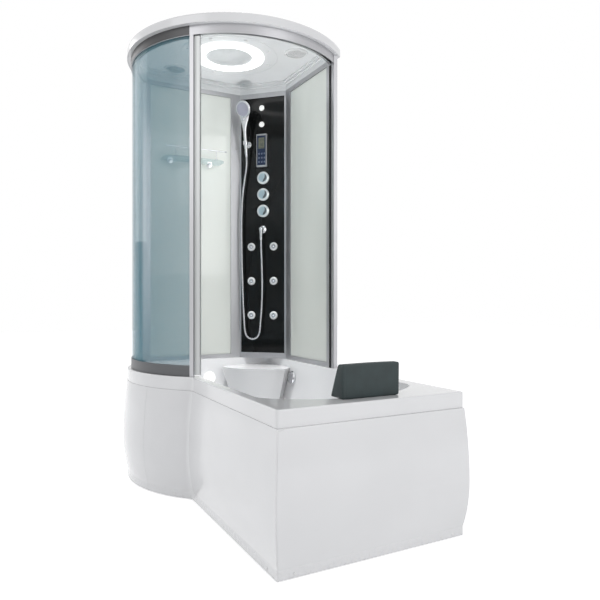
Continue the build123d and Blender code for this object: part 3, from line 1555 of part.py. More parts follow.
def rain_disc():
    """Domed overhead shower plate with rings of nozzles and its supply stub."""
    sphere = (RAIN_RADIUS**2 + RAIN_DOME**2) / (2 * RAIN_DOME)
    section = make_face(
        [
            Line((0, 0), (RAIN_RADIUS, 0)),
            ThreePointArc(
                (RAIN_RADIUS, 0),
                (RAIN_RADIUS / 2, RAIN_DOME - sphere + sqrt(sphere**2 - RAIN_RADIUS**2 / 4)),
                (0, RAIN_DOME),
            ),
            Line((0, RAIN_DOME), (0, 0)),
        ]
    )
    disc = revolve(Plane.XZ * section, Axis.Z, 360)
    stub = Pos(0, 0, -2 * CEILING_SHEET) * rod(RAIN_PIPE, 2 * CEILING_SHEET + 1)
    nozzles = []
    for ring in range(1, RAIN_RINGS + 1):
        radius = ring * RAIN_RADIUS / (RAIN_RINGS + 1)
        surface = RAIN_DOME - sphere + sqrt(sphere**2 - radius**2)
        for index in range(6 * ring):
            spot = Rot(0, 0, 60 / ring * index + ring) * Pos(radius, 0, surface - 3)
            nozzles.append(spot * rod(RAIN_NOZZLE, 4.5))
    return tip(UNDER_RING * (disc + stub).fuse(*nozzles))


def ceiling_nozzle():
    """Small nozzle with a neck through the ceiling."""
    return turned(
        (
            (0, -2 * CEILING_SHEET),
            (NOZZLE_RADIUS / 2, -2 * CEILING_SHEET),
            (NOZZLE_RADIUS / 2, 0),
            (NOZZLE_RADIUS, 0),
            (NOZZLE_RADIUS, 2),
            (NOZZLE_RADIUS - 3, 5),
            (0, 5),
        )
    )


def bezel():
    """Round bezel with its sleeve and ring grille."""
    body = turned(
        (
            (BEZEL_OPENING, -BEZEL_SLEEVE),
            (BEZEL_OPENING + 2, -BEZEL_SLEEVE),
            (BEZEL_OPENING + 2, 0),
            (BEZEL_RADIUS, 0),
            (BEZEL_RADIUS, 2),
            (BEZEL_RADIUS - 4, 6),
            (BEZEL_OPENING + 2, 6),
            (BEZEL_OPENING, 4),
        )
    )
    for radius in GRILLE_RINGS:
        body = body + (rod(radius + 1.5, 2) - rod(radius - 1.5, 2))
    for angle in range(0, 180, 45):
        bar = Rot(0, 0, angle) * block(-BEZEL_OPENING - 1, BEZEL_OPENING + 1, -1.2, 1.2, 0, 2)
        body = body + bar
    return body


def fan_bezel():
    """Bezel that carries the fan's motor on three arms."""
    body = bezel()
    low = -BEZEL_SLEEVE
    for angle in (0, 120, 240):
        arm = Rot(0, 0, angle) * block(0, BEZEL_OPENING + 1, -3, 3, low, low + 2)
        body = body + arm
    pin_length = BEZEL_SLEEVE - 4
    return body + Pos(0, 0, low) * rod(FAN_HUB, 3) + Pos(0, 0, low) * rod(FAN_PIN, pin_length)


def speaker():
    """Speaker cone behind the other grille."""
    return turned(
        (
            (0, -BEZEL_SLEEVE),
            (20, -BEZEL_SLEEVE),
            (BEZEL_OPENING - SEAM, -4),
            (BEZEL_OPENING - SEAM, -1),
            (18, -8),
            (0, -6),
        )
    )


def fan_impeller():
    """Extractor fan: hub with pitched blades."""
    low = 3 + SEAM - BEZEL_SLEEVE
    wheel = Pos(0, 0, low) * rod(FAN_HUB, FAN_DEPTH)
    for index in range(FAN_BLADES):
        turn = Rot(0, 0, 360 / FAN_BLADES * index)
        blade = turn * Pos(FAN_HUB - 2, 0, low + FAN_DEPTH / 2) * Rot(FAN_PITCH, 0, 0)
        wheel = wheel + blade * block(0, FAN_RADIUS - FAN_HUB, -5, 5, -0.5, 0.5)
    bore = Pos(0, 0, -2 * BEZEL_SLEEVE) * rod(FAN_PIN + SPINDLE_FIT, 2 * BEZEL_SLEEVE)
    return tip(BEZEL_PLACES[0] * (wheel - bore))


keep("roof", tip(dome(0) - dome(ROOF_SHELL)))
keep("ceiling", ceiling())
keep("ceiling_lamp", ceiling_lamp())
keep("rain_disc", rain_disc())
fittings = [tip(BEZEL_PLACES[0] * fan_bezel()), tip(BEZEL_PLACES[1] * bezel())]
fittings += [tip(BEZEL_PLACES[1] * speaker())]
fittings += [tip(place * ceiling_nozzle()) for place in NOZZLE_PLACES]
keep("ceiling_fittings", *fittings)
keep("fan_impeller", fan_impeller())


# Function column
JET_PLACES = [(side * JET_ALONG, height) for height in JET_HEIGHTS for side in (-1, 1)]
CONTROL_MIDDLE = (CONTROL_BOTTOM + CONTROL_TOP) / 2
CONTROL_HEIGHT = CONTROL_TOP - CONTROL_BOTTOM
MIXER_LOW = KNOB_HEIGHTS[-1] - MIXER_OVERHANG
MIXER_HIGH = KNOB_HEIGHTS[0] + MIXER_OVERHANG


def column_frame():
    """Surround of the black panel, between the two wall frames."""
    half = COLUMN_HALF - SEAM
    frame = block(-half, half, RIM_HEIGHT, WALL_TOP, -COLUMN_FRAME_DEPTH, 0)
    inner = PANEL_HALF + SEAM
    low, high = PANEL_BOTTOM - SEAM, PANEL_TOP + SEAM
    window = block(-inner, inner, low, high, -COLUMN_FRAME_DEPTH - 1, 1)
    return tip(COLUMN.location * (frame - window))


def column_panel():
    """Black panel with a hole for each thing that passes through it."""
    panel = block(-PANEL_HALF, PANEL_HALF, PANEL_BOTTOM, PANEL_TOP, -PANEL_THICKNESS, 0)
    holes = [(KNOB_ALONG, height, SPINDLE_RADIUS + 2) for height in KNOB_HEIGHTS]
    holes += [(along, height, JET_SLEEVE + HOLE_FIT) for along, height in JET_PLACES]
    holes += [(SPOT_ALONG, height, SPOT_RADIUS / 2 + HOLE_FIT) for height in SPOT_HEIGHTS]
    holes += [
        (OUTLET_ALONG, OUTLET_HEIGHT, SPOUT_RADIUS + HOLE_FIT),
        (SHOWER_ALONG, HOLDER_HEIGHT, HOLDER_BASE / 3 + HOLE_FIT),
        (CONTROL_ALONG, CONTROL_MIDDLE, CONTROL_DEPTH / 2 + HOLE_FIT),
    ]
    for along, height, radius in holes:
        cutter = rod(radius, 2 * PANEL_THICKNESS)
        panel = panel - Pos(along, height, -1.5 * PANEL_THICKNESS) * cutter
    return tip(COLUMN.location * panel)


def mixer_body():
    """Brass bar behind the panel with a valve boss for each knob and two inlets."""
    upright = Pos(KNOB_ALONG, MIXER_LOW, -MIXER_BACK) * Rot(-90, 0, 0)
    body = upright * rod(MIXER_RADIUS, MIXER_HIGH - MIXER_LOW)
    across = Pos(KNOB_ALONG - INLET_ASIDE, MIXER_LOW, -MIXER_BACK) * Rot(0, 90, 0)
    body = body + across * rod(INLET_RADIUS + 3, 2 * INLET_ASIDE)
    for side in (-1, 1):
        inlet = Pos(KNOB_ALONG + side * INLET_ASIDE, MIXER_LOW, -MIXER_BACK)
        back = inlet * Rot(180, 0, 0)
        body = body + inlet * Sphere(INLET_RADIUS + 3) + back * rod(INLET_RADIUS + 3, INLET_COLLAR)
        body = body + back * rod(INLET_RADIUS, INLET_REACH)
    for height in KNOB_HEIGHTS:
        boss = Pos(KNOB_ALONG, height, -MIXER_BACK)
        body = body + boss * rod(MIXER_BOSS, MIXER_BACK - PANEL_THICKNESS)
    for height in KNOB_HEIGHTS:
        bore = Pos(KNOB_ALONG, height, -MIXER_BACK)
        body = body - bore * rod(SPINDLE_RADIUS + SPINDLE_FIT, MIXER_BACK)
    return tip(COLUMN.location * body)


def control_knob(height):
    """Round knob with a raised lever rib, on its valve spindle."""
    rim = turned(
        (
            (0, 0),
            (KNOB_RADIUS - 2, 0),
            (KNOB_RADIUS, 2),
            (KNOB_RADIUS, KNOB_DEPTH - 9),
            (KNOB_RADIUS - 6, KNOB_DEPTH - 5),
            (0, KNOB_DEPTH - 4),
        )
    )
    high = (0.33 * KNOB_RADIUS, 0.62 * KNOB_RADIUS)
    low = (0, -0.68 * KNOB_RADIUS)
    inner = (0.17 * KNOB_RADIUS, -0.3 * KNOB_RADIUS)
    arc = make_face(
        [
            ThreePointArc(high, (0.68 * KNOB_RADIUS, 0), low),
            Line(low, inner),
            ThreePointArc(inner, (0.36 * KNOB_RADIUS, 0), high),
        ]
    )
    rib = raised(arc, KNOB_DEPTH / 2, KNOB_DEPTH)
    stem_length = MIXER_BACK - MIXER_RADIUS / 2
    stem = Pos(0, 0, -stem_length) * rod(SPINDLE_RADIUS, stem_length + 1)
    return tip(on_column(rim + rib + stem, KNOB_ALONG, height, KNOB_GAP))


def hose_outlet():
    """Wall elbow with a tapered spout for the hose."""
    flange = turned(
        ((0, 0), (OUTLET_RADIUS, 0), (OUTLET_RADIUS, 3), (SPOUT_RADIUS + 3, 9), (0, 9))
    )
    neck = Pos(0, 0, -OUTLET_REACH) * rod(SPOUT_RADIUS, 2 * OUTLET_REACH)
    bend = Pos(0, 0, OUTLET_REACH) * Sphere(SPOUT_RADIUS + 2)
    down = Pos(0, 0, OUTLET_REACH) * Rot(90, 0, 0)
    seat = (Align.CENTER, Align.CENTER, Align.MIN)
    taper = Cone(SPOUT_RADIUS, HOSE_DIAMETER / 2 + 1.5, OUTLET_DROP, align=seat)
    return tip(on_column(flange + neck + bend + down * taper, OUTLET_ALONG, OUTLET_HEIGHT))


keep("column_frame", column_frame())
keep("column_panel", column_panel())
keep("mixer_body", mixer_body())
for name, height in zip(("temperature_knob", "diverter_knob", "flow_knob"), KNOB_HEIGHTS):
    keep(name, control_knob(height))
keep("hose_outlet", hose_outlet())


# Hand shower, its holder and its hose
LEAN_UP = sin(radians(SHOWER_LEAN))
LEAN_ALONG = cos(radians(SHOWER_LEAN))
SHOWER = Pos(SHOWER_ALONG, SHOWER_FOOT, SHOWER_FOOT_OUT) * Rot(SHOWER_LEAN - 90, 0, 0)
HEAD_CENTRE = (SHOWER * Pos(0, 0, SHOWER_LENGTH)).position
HEAD = Pos(*HEAD_CENTRE) * Rot(0, HEAD_TURN, 0) * Rot(HEAD_DROOP, 0, 0)
RING_START = (HOLDER_HEIGHT - SHOWER_FOOT) / LEAN_ALONG - HOLDER_RING / 2


def hose_end(back):
    """Point on the handle's line, this far before its foot."""
    return (SHOWER_ALONG, SHOWER_FOOT - back * LEAN_ALONG, SHOWER_FOOT_OUT - back * LEAN_UP)


def bend_radii(points):
    """For each corner of a route the largest radius that its runs allow."""
    radii = []
    for before, here, after in zip(points, points[1:], points[2:]):
        arriving = here - before
        leaving = after - here
        turn = radians(arriving.get_angle(leaving))
        radii.append(0.45 * min(arriving.length, leaving.length) / tan(turn / 2))
    return radii


def shower_hose():
    """Hose from the spout down its loop and up to the handle's foot."""
    local = HOSE_POINTS + (hose_end(HOSE_LAST_RUN), hose_end(0))
    points = [Vector(*COLUMN.from_local_coords(point)) for point in local]
    radii = bend_radii(points)
    path = FilletPolyline(*points, radius=radii)
    hose = tip(tube_along(path, HOSE_DIAMETER / 2))
    section = pi * HOSE_DIAMETER**2 / 4
    print("hose radii", [round(radius, 1) for radius in radii])
    print("hose length", round(path.length, 1))
    print("hose volume ratio", round(hose.volume / section / path.length, 5))
    return hose


def hand_shower():
    """Handle swelling into the round head, with a recess for the spray face."""
    neck = turned(
        ((0, 0), (HANDLE_FOOT, 0), (HANDLE_NECK, HANDLE_NECK_LENGTH), (0, HANDLE_NECK_LENGTH))
    )
    sections = [Pos(0, 0, HANDLE_NECK_LENGTH) * Circle(HANDLE_NECK)]
    for distance, wide, deep, back in HANDLE_SWELL:
        sections.append(Pos(0, back, distance) * Ellipse(wide, deep))
    handle = SHOWER * (neck + loft(sections))
    head = turned(
        (
            (0, -18),
            (HEAD_RADIUS / 2, -17),
            (HEAD_RADIUS - 8, -10),
            (HEAD_RADIUS, -1),
            (HEAD_RADIUS, 4),
            (HEAD_RADIUS - 3, 8),
            (SPRAY_RADIUS + SEAM, 8),
            (SPRAY_RADIUS + SEAM, 3),
            (0, 3),
        )
    )
    recess = Pos(0, 0, 3) * rod(SPRAY_RADIUS + SEAM, 3 * HEAD_RADIUS)
    return tip(COLUMN.location * (handle + HEAD * head - HEAD * recess))


def spray_face():
    """Spray plate of the hand shower with its rings of nozzles."""
    plate = Pos(0, 0, 3) * rod(SPRAY_RADIUS, 5)
    nozzles = []
    for ring in range(1, SPRAY_RINGS + 1):
        radius = ring * SPRAY_RADIUS / (SPRAY_RINGS + 0.6)
        for index in range(6 * ring):
            spot = Rot(0, 0, 60 / ring * index + ring) * Pos(radius, 0, 6)
            nozzles.append(spot * rod(SPRAY_NOZZLE, 3.2))
    return tip(COLUMN.location * HEAD * plate.fuse(*nozzles))


def shower_holder():
    """Rosette, arm and the open ring that the handle drops into."""
    inner = HANDLE_NECK + SEAM
    rosette = Pos(SHOWER_ALONG, HOLDER_HEIGHT, 0) * turned(
        ((0, 0), (HOLDER_BASE, 0), (HOLDER_BASE, 4), (HOLDER_BASE - 4, 8), (0, 8))
    )
    stud = Pos(SHOWER_ALONG, HOLDER_HEIGHT, -2 * PANEL_THICKNESS)
    reach = SHOWER_FOOT_OUT + (HOLDER_HEIGHT - SHOWER_FOOT) * LEAN_UP / LEAN_ALONG
    arm = stud * rod(HOLDER_BASE / 3, 2 * PANEL_THICKNESS + reach)
    ring = SHOWER * Pos(0, 0, RING_START) * rod(inner + HOLDER_WALL, HOLDER_RING)
    bore = SHOWER * rod(inner, SHOWER_LENGTH)
    half = HOLDER_SLOT / 2
    below = RING_START - HOLDER_RING
    slot = SHOWER * block(-half, half, -3 * inner, 0, below, below + 3 * HOLDER_RING)
    return tip(COLUMN.location * (rosette + arm + ring - bore - slot))


keep("shower_hose", shower_hose())
keep("hand_shower", hand_shower())
keep("spray_face", spray_face())
keep("shower_holder", shower_holder())


# Body jets, lamps and the control unit of the column
def jet_ring(along, height):
    """Fixed ring that holds a jet's ball."""
    ring = turned(
        (
            (0, -JET_SLEEVE_DEPTH),
            (JET_SLEEVE, -JET_SLEEVE_DEPTH),
            (JET_SLEEVE, 0),
            (JET_RING_RADIUS, 0),
            (JET_RING_RADIUS, 2),
            (JET_RING_RADIUS - 5, JET_RING_PROUD),
            (0, JET_RING_PROUD),
        )
    )
    ring = ring - Pos(0, 0, JET_BALL_OUT) * Sphere(JET_BALL + RUNNING_FIT)
    return tip(on_column(ring, along, height))


def panel_jet(along, height):
    """Ball nozzle with its tail, bored through."""
    ball = Pos(0, 0, JET_BALL_OUT) * Sphere(JET_BALL)
    ball = ball & Pos(0, 0, JET_FACE - 3 * JET_BALL) * rod(2 * JET_BALL, 3 * JET_BALL)
    tail = Pos(0, 0, JET_BALL_OUT - JET_TAIL_LENGTH) * rod(JET_TAIL, JET_TAIL_LENGTH)
    bore = Pos(0, 0, -2 * JET_TAIL_LENGTH) * rod(JET_BORE, 3 * JET_TAIL_LENGTH)
    return tip(on_column(ball + tail - bore, along, height))


def panel_lamp(height):
    """Round spot with a neck through the panel."""
    spot = turned(
        (
            (0, -2 * PANEL_THICKNESS),
            (SPOT_RADIUS / 2, -2 * PANEL_THICKNESS),
            (SPOT_RADIUS / 2, 0),
            (SPOT_RADIUS, 0),
            (SPOT_RADIUS, SPOT_PROUD / 2),
            (SPOT_RADIUS - SPOT_PROUD, SPOT_PROUD),
            (0, SPOT_PROUD),
        )
    )
    return tip(on_column(spot, SPOT_ALONG, height))


def control_housing():
    """Frame of the control unit, with a stub for its cable through the panel."""
    body = extrude(RectangleRounded(CONTROL_WIDTH, CONTROL_HEIGHT, 4), amount=CONTROL_DEPTH)
    body = chamfer(body.edges().group_by(Axis.Z)[-1], 2)
    face = RectangleRounded(CONTROL_WIDTH - 2 * CONTROL_BORDER, CONTROL_HEIGHT - 4 * CONTROL_BORDER, 3)
    recess = Pos(0, 0, CONTROL_DEPTH - CONTROL_RECESS) * extrude(face, amount=CONTROL_DEPTH)
    stub = Pos(0, 0, -2 * PANEL_THICKNESS) * rod(CONTROL_DEPTH / 2, 2 * PANEL_THICKNESS + 1)
    return tip(on_column(body - recess + stub, CONTROL_ALONG, CONTROL_MIDDLE))


def control_face():
    """Display and membrane keys in one plate."""
    width = CONTROL_WIDTH - 2 * CONTROL_BORDER - 2 * SEAM
    height = CONTROL_HEIGHT - 4 * CONTROL_BORDER - 2 * SEAM
    plate = extrude(RectangleRounded(width, height, 3 - SEAM), amount=CONTROL_RECESS)
    return tip(on_column(plate, CONTROL_ALONG, CONTROL_MIDDLE, CONTROL_DEPTH - CONTROL_RECESS))


keep("jet_rings", *[jet_ring(along, height) for along, height in JET_PLACES])
for number, (along, height) in enumerate(JET_PLACES, 1):
    keep(f"panel_jet_{number}", panel_jet(along, height))
keep("panel_lamps", *[panel_lamp(height) for height in SPOT_HEIGHTS])
keep("control_housing", control_housing())
keep("control_face", control_face())


# Shelf on the end wall
SHELF_END = Y_WALL - SHELF_START
SHELF_FRONT = END_FACE + SHELF_DEPTH
SHELF_BACK = END_FACE - WALL_GLASS_RECESS


def shelf_glass():
    """Glass plate with rounded front corners."""
    start = SHELF_END - SHELF_LENGTH
    top = SHELF_HEIGHT + SHELF_GLASS
    plate = block(SHELF_BACK + SHELF_GLASS, SHELF_FRONT, start, SHELF_END, SHELF_HEIGHT, top)
    corners = [e for e in plate.edges().filter_by(Axis.Z) if (e @ 0.5).X > END_FACE + 1]
    return tip(fillet(corners, SHELF_CORNER))


def shelf_post(y):
    """Post from the glass up to the gallery rail, with a foot on the glass."""
    x = SHELF_FRONT - 2 * SHELF_RAIL_RADIUS
    base = SHELF_HEIGHT + SHELF_GLASS
    post = Pos(x, y, base) * rod(SHELF_POST_RADIUS, SHELF_RAIL_RISE)
    return post + Pos(x, y, base) * rod(2 * SHELF_RAIL_RADIUS, SHELF_RAIL_RADIUS)


def shelf_rail():
    """Gallery rail on its posts, and the two wall clamps of the glass."""
    x = SHELF_FRONT - 2 * SHELF_RAIL_RADIUS
    top = SHELF_HEIGHT + SHELF_GLASS + SHELF_RAIL_RISE
    ys = (SHELF_END - SHELF_LENGTH + SHELF_POST_INSET, SHELF_END - SHELF_POST_INSET)
    rail = Pos(x, SHELF_END, top) * Rot(90, 0, 0) * rod(SHELF_RAIL_RADIUS, SHELF_LENGTH)
    for y in ys:
        rail = rail + shelf_post(y)
    for y in (SHELF_END - SHELF_LENGTH, SHELF_END):
        rail = rail + Pos(x, y, top) * Sphere(1.6 * SHELF_RAIL_RADIUS)
    clamps = []
    middle = SHELF_HEIGHT + SHELF_GLASS / 2
    low, high = SHELF_HEIGHT - SEAM, SHELF_HEIGHT + SHELF_GLASS + SEAM
    slot = block(SHELF_BACK + SHELF_GLASS - SEAM, BIG, -BIG, BIG, low, high)
    for y in ys:
        clamp = Pos(SHELF_BACK, y, middle) * Rot(0, 90, 0)
        body = clamp * rod(SHELF_CLAMP, SHELF_CLAMP_REACH) + clamp * rod(1.5 * SHELF_CLAMP, 3)
        clamps.append(tip(body - slot))
    return [tip(rail)] + clamps


keep("shelf_glass", shelf_glass())
keep("shelf_rail", *shelf_rail())


os.makedirs("parts", exist_ok=True)
for name, solids in nodes.items():
    shape = solids[0] if len(solids) == 1 else Compound(children=list(solids))
    export_step(shape, f"parts/{name}.step")
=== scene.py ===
import json
from math import cos, pi, radians, sin, sqrt

import bmesh
import bpy
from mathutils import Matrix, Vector


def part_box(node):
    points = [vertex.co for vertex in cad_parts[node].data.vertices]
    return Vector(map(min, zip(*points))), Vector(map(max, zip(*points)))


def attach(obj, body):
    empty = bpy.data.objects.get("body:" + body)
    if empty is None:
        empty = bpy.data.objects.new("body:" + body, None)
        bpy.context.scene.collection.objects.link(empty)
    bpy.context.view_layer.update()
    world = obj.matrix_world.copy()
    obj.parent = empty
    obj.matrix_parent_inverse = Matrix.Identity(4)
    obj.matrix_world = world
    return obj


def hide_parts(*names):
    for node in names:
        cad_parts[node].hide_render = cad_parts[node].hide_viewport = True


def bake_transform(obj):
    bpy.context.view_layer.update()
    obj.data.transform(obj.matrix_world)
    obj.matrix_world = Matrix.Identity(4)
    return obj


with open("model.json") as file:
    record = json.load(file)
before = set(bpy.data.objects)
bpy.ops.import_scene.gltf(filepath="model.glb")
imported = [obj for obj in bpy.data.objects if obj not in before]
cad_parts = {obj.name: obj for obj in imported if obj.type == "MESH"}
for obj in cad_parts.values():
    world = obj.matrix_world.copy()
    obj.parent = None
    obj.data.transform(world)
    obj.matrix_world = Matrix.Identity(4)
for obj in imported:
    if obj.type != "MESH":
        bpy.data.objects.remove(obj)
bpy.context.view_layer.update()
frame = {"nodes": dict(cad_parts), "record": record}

# Jetted bath with a round shower cabin over one end. Metres, +Z up, +X the foot end,
# -Y the open front.

MM = 0.001
STEP = sqrt(0.5) * MM


# Camera, level, at the photograph's place and angle
CAMERA_PLACE = (2.416, -1.076, 0.8853)
CAMERA_AZIMUTH = 61.869
CAMERA_LENS = 35
CAMERA_SHIFT = -0.0024


def camera():
    """The photograph's viewpoint."""
    data = bpy.data.cameras.new("viewpoint")
    data.lens = CAMERA_LENS
    data.sensor_width = 36
    data.shift_y = CAMERA_SHIFT
    viewpoint = bpy.data.objects.new("viewpoint", data)
    viewpoint.location = CAMERA_PLACE
    viewpoint.rotation_euler = (radians(90), 0, radians(CAMERA_AZIMUTH))
    bpy.context.scene.collection.objects.link(viewpoint)
    bpy.context.scene.camera = viewpoint


camera()


# Finishes
class Reading:
    """A value that changes over a surface. Arithmetic on it adds Math nodes."""

    def __init__(self, finish, socket):
        self.finish = finish
        self.socket = socket

    def maths(self, operation, *values):
        return self.finish.node("Math", {"operation": operation}, dict(enumerate(values)))

    def __add__(self, other):
        return self.maths("ADD", self, other)

    def __rsub__(self, other):
        return self.maths("SUBTRACT", other, self)

    def __mul__(self, other):
        return self.maths("MULTIPLY", self, other)

    def __pow__(self, other):
        return self.maths("POWER", self, other)

    __radd__ = __add__
    __rmul__ = __mul__

    def between(self, low, high):
        """0 below low and 1 above high, or the other way round, with a soft step."""
        settings = {"interpolation_type": "SMOOTHSTEP"}
        ends = {"Value": self, "From Min": low, "From Max": high}
        return self.finish.node("MapRange", settings, ends)

    def least(self, other):
        return self.maths("MINIMUM", self, other)


class Finish:
    """A procedural material. Constants go straight to the shader's own sockets."""

    def __init__(self, name, **constants):
        self.material = bpy.data.materials.new(name)
        self.material.use_nodes = True
        self.tree = self.material.node_tree
        self.shader = self.tree.nodes["Principled BSDF"]
        self.set(**constants)

    def put(self, socket, value):
        if isinstance(value, Reading):
            self.tree.links.new(value.socket, socket)
        elif socket.type == "RGBA" and len(value) == 3:
            socket.default_value = (*value, 1)
        else:
            socket.default_value = value

    def set(self, **values):
        for name, value in values.items():
            words = name.replace("_", " ").title().replace("Ior", "IOR")
            self.put(self.shader.inputs[words], value)

    def node(self, kind, settings=None, inputs=None, output=0):
        made = self.tree.nodes.new("ShaderNode" + kind)
        for name, value in (settings or {}).items():
            setattr(made, name, value)
        for name, value in (inputs or {}).items():
            self.put(made.inputs[name], value)
        return Reading(self, made.outputs[output])

    def place(self):
        return self.node("TexCoord", output="Object")

    def along(self, axis):
        return self.node("SeparateXYZ", None, {0: self.place()}, axis)

    def noise(self, scale, detail=3, stretch=(1, 1, 1), rough=0.5):
        place = self.node("Mapping", None, {"Vector": self.place(), "Scale": stretch})
        inputs = {"Vector": place, "Scale": scale, "Detail": detail, "Roughness": rough}
        return self.node("TexNoise", None, inputs)

    def cells(self, scale, stretch=(1, 1, 1)):
        place = self.node("Mapping", None, {"Vector": self.place(), "Scale": stretch})
        return self.node("TexVoronoi", None, {"Vector": place, "Scale": scale})

    def mix(self, share, first, second):
        inputs = {0: share, 6: first, 7: second}
        return self.node("Mix", {"data_type": "RGBA"}, inputs, 2)

    def relief(self, height, depth, edge=0.0):
        inputs = {"Height": height, "Distance": depth, "Strength": 1.0}
        if edge:
            inputs["Normal"] = self.node("Bevel", {"samples": 4}, {"Radius": edge})
        self.set(normal=self.node("Bump", None, inputs))


def colour(red, green, blue):
    """A colour as it is written on a screen, from 0 to 255, as linear light."""
    return tuple(((value / 255 + 0.055) / 1.055) ** 2.4 for value in (red, green, blue))


def darker(shade, share):
    return tuple(value * share for value in shade)


EDGE = 1.5 * MM
SCUFF_HEIGHT = 0.05


def acrylic(name, shade, coat=0.5):
    """Glossy moulded acrylic: faint waviness, haze, and scuffs near the floor."""
    finish = Finish(name, coat_weight=coat, coat_roughness=0.03, specular_ior_level=0.5)
    haze = finish.noise(3, 2)
    specks = finish.noise(90, 5, rough=0.65)
    low = finish.along(2).between(SCUFF_HEIGHT, 0.0)
    scuff = low * specks.between(0.45, 0.7)
    body = finish.mix(haze.between(0.3, 0.7), shade, darker(shade, 0.965))
    body = finish.mix(scuff * 0.5, body, darker(shade, 0.6))
    finish.set(base_color=body, roughness=0.14 + haze * 0.06 + specks * 0.04 + scuff * 0.4)
    finish.relief(finish.noise(14, 2) + specks * 0.03, 0.25 * MM, EDGE)
    return finish.material


def anodised(name, shade, grain, rough=0.26):
    """Satin aluminium with its fine drawn lines and a few handling marks."""
    finish = Finish(name, metallic=0.88)
    lines = finish.noise(1, 3, grain)
    marks = finish.noise(7, 4, rough=0.6)
    body = finish.mix(lines.between(0.25, 0.75), darker(shade, 0.86), shade)
    body = finish.mix(marks.between(0.62, 0.8) * 0.35, body, darker(shade, 0.7))
    finish.set(base_color=body, roughness=rough + lines * 0.12 + marks * 0.06)
    finish.relief(lines, 0.03 * MM, 0.8 * MM)
    return finish.material


def plated(name, shade, rough=0.05, drops=0.5):
    """Polished plating with dried water marks."""
    finish = Finish(name, metallic=1.0)
    spots = finish.cells(130).between(0.16, 0.05) * drops
    film = finish.noise(28, 4)
    body = finish.mix(film.between(0.3, 0.75), shade, darker(shade, 0.9))
    finish.set(base_color=body, roughness=rough + spots * 0.22 + film * 0.08)
    finish.relief(film + spots * 0.2, 0.04 * MM, 0.6 * MM)
    return finish.material


def glass(name, shade, clear, deep, scale_marks=0.05):
    """Coloured pane, deeper at a slant, with faint lime marks low down."""
    finish = Finish(name, specular_ior_level=0.4)
    slant = finish.node("LayerWeight", None, {"Blend": 0.35}, "Facing")
    film = finish.noise(5, 4, (1, 1, 0.35))
    low = finish.along(2).between(1.0, 0.55)
    marks = finish.cells(160).between(0.2, 0.1) * low * scale_marks
    body = finish.mix(film.between(0.2, 0.8), shade, darker(shade, 1.12))
    cover = clear + (slant**3) * (deep - clear) + film * 0.02 + marks
    finish.set(base_color=finish.mix(marks, body, (0.8, 0.8, 0.8)), alpha=cover.least(1.0))
    finish.set(roughness=0.02 + film * 0.03 + marks)
    finish.relief(film, 0.02 * MM)
    return finish.material


def coated_glass(name, shade):
    """Wall pane with a white coat behind it, with painted light that makes it lighter towards the
    top.
    """
    finish = Finish(name, coat_weight=0.6, coat_roughness=0.05)
    # Painted light and shade: a shaded copy of the colour low down runs into a lit copy at the top
    height = finish.along(2).between(0.6, 2.05)
    cloud = finish.noise(2.2, 3, (1, 1, 0.3))
    body = finish.mix(height, darker(shade, 0.88), darker(shade, 1.27))
    body = finish.mix(cloud.between(0.35, 0.7) * 0.5, body, darker(shade, 0.93))
    finish.set(base_color=body, roughness=0.3 + cloud * 0.1)
    finish.relief(finish.noise(240, 2), 0.02 * MM)
    return finish.material


def lacquer(name, shade, rough=0.07):
    """Deep polished sheet with faint wiping marks and dust."""
    finish = Finish(name, coat_weight=0.06, coat_roughness=0.05, specular_ior_level=0.2)
    wipes = finish.noise(6, 4, (1, 1, 3))
    dust = finish.noise(380, 3)
    body = finish.mix(dust.between(0.66, 0.8) * 0.2, shade, (0.12, 0.12, 0.12))
    finish.set(base_color=body, roughness=rough + wipes * 0.06)
    finish.relief(wipes, 0.03 * MM, 0.5 * MM)
    return finish.material


def moulded(name, shade, rough=0.45, grain=500, depth=0.06):
    """Plain moulded plastic or painted metal with a fine grain."""
    finish = Finish(name)
    fine = finish.noise(grain, 3)
    patch = finish.noise(9, 4)
    body = finish.mix(patch.between(0.3, 0.75), shade, darker(shade, 0.86))
    finish.set(base_color=body, roughness=rough + fine * 0.1 + patch * 0.08)
    finish.relief(fine, depth * MM, 0.6 * MM)
    return finish.material


def metal(name, shade, rough=0.35, patches=0.25):
    """Bare or zinc-coated metal with spangles and dull patches."""
    finish = Finish(name, metallic=0.9)
    spangle = finish.cells(70)
    dull = finish.noise(12, 5, rough=0.65)
    body = finish.mix(spangle * patches, shade, darker(shade, 0.65))
    body = finish.mix(dull.between(0.5, 0.75) * 0.5, body, darker(shade, 0.75))
    finish.set(base_color=body, roughness=rough + dull * 0.2)
    finish.relief(dull, 0.05 * MM, 0.6 * MM)
    return finish.material


def lit(name, shade, strength):
    """Opal cover with light behind it."""
    finish = Finish(name, roughness=0.3, emission_strength=strength)
    cloud = finish.noise(30, 3)
    body = finish.mix(cloud, shade, darker(shade, 0.94))
    finish.set(base_color=body, emission_color=body)
    finish.relief(finish.noise(500, 2), 0.02 * MM, 0.8 * MM)
    return finish.material


def leather(name, shade):
    """Foam skin with a fine pebble grain, painted shade in its pits, and random lighter, rougher
    patches.
    """
    finish = Finish(name, specular_ior_level=0.4)
    pebbles = finish.cells(520)
    patch = finish.noise(16, 4)
    body = finish.mix(patch.between(0.3, 0.75), shade, darker(shade, 1.35))
    # Painted shade: the pits of the pebble grain are darkened
    body = finish.mix(pebbles.between(0.3, 0.0) * 0.4, body, darker(shade, 0.6))
    finish.set(base_color=body, roughness=0.42 + patch * 0.16)
    finish.relief(pebbles + patch * 0.3, 0.22 * MM)
    return finish.material


def column_point(along, height, out):
    """A point on the column's face: along it, its height and out of it, in millimetres."""
    return Vector((-0.6965 + (along + out) * STEP, 0.3395 + (along - out) * STEP, height * MM))


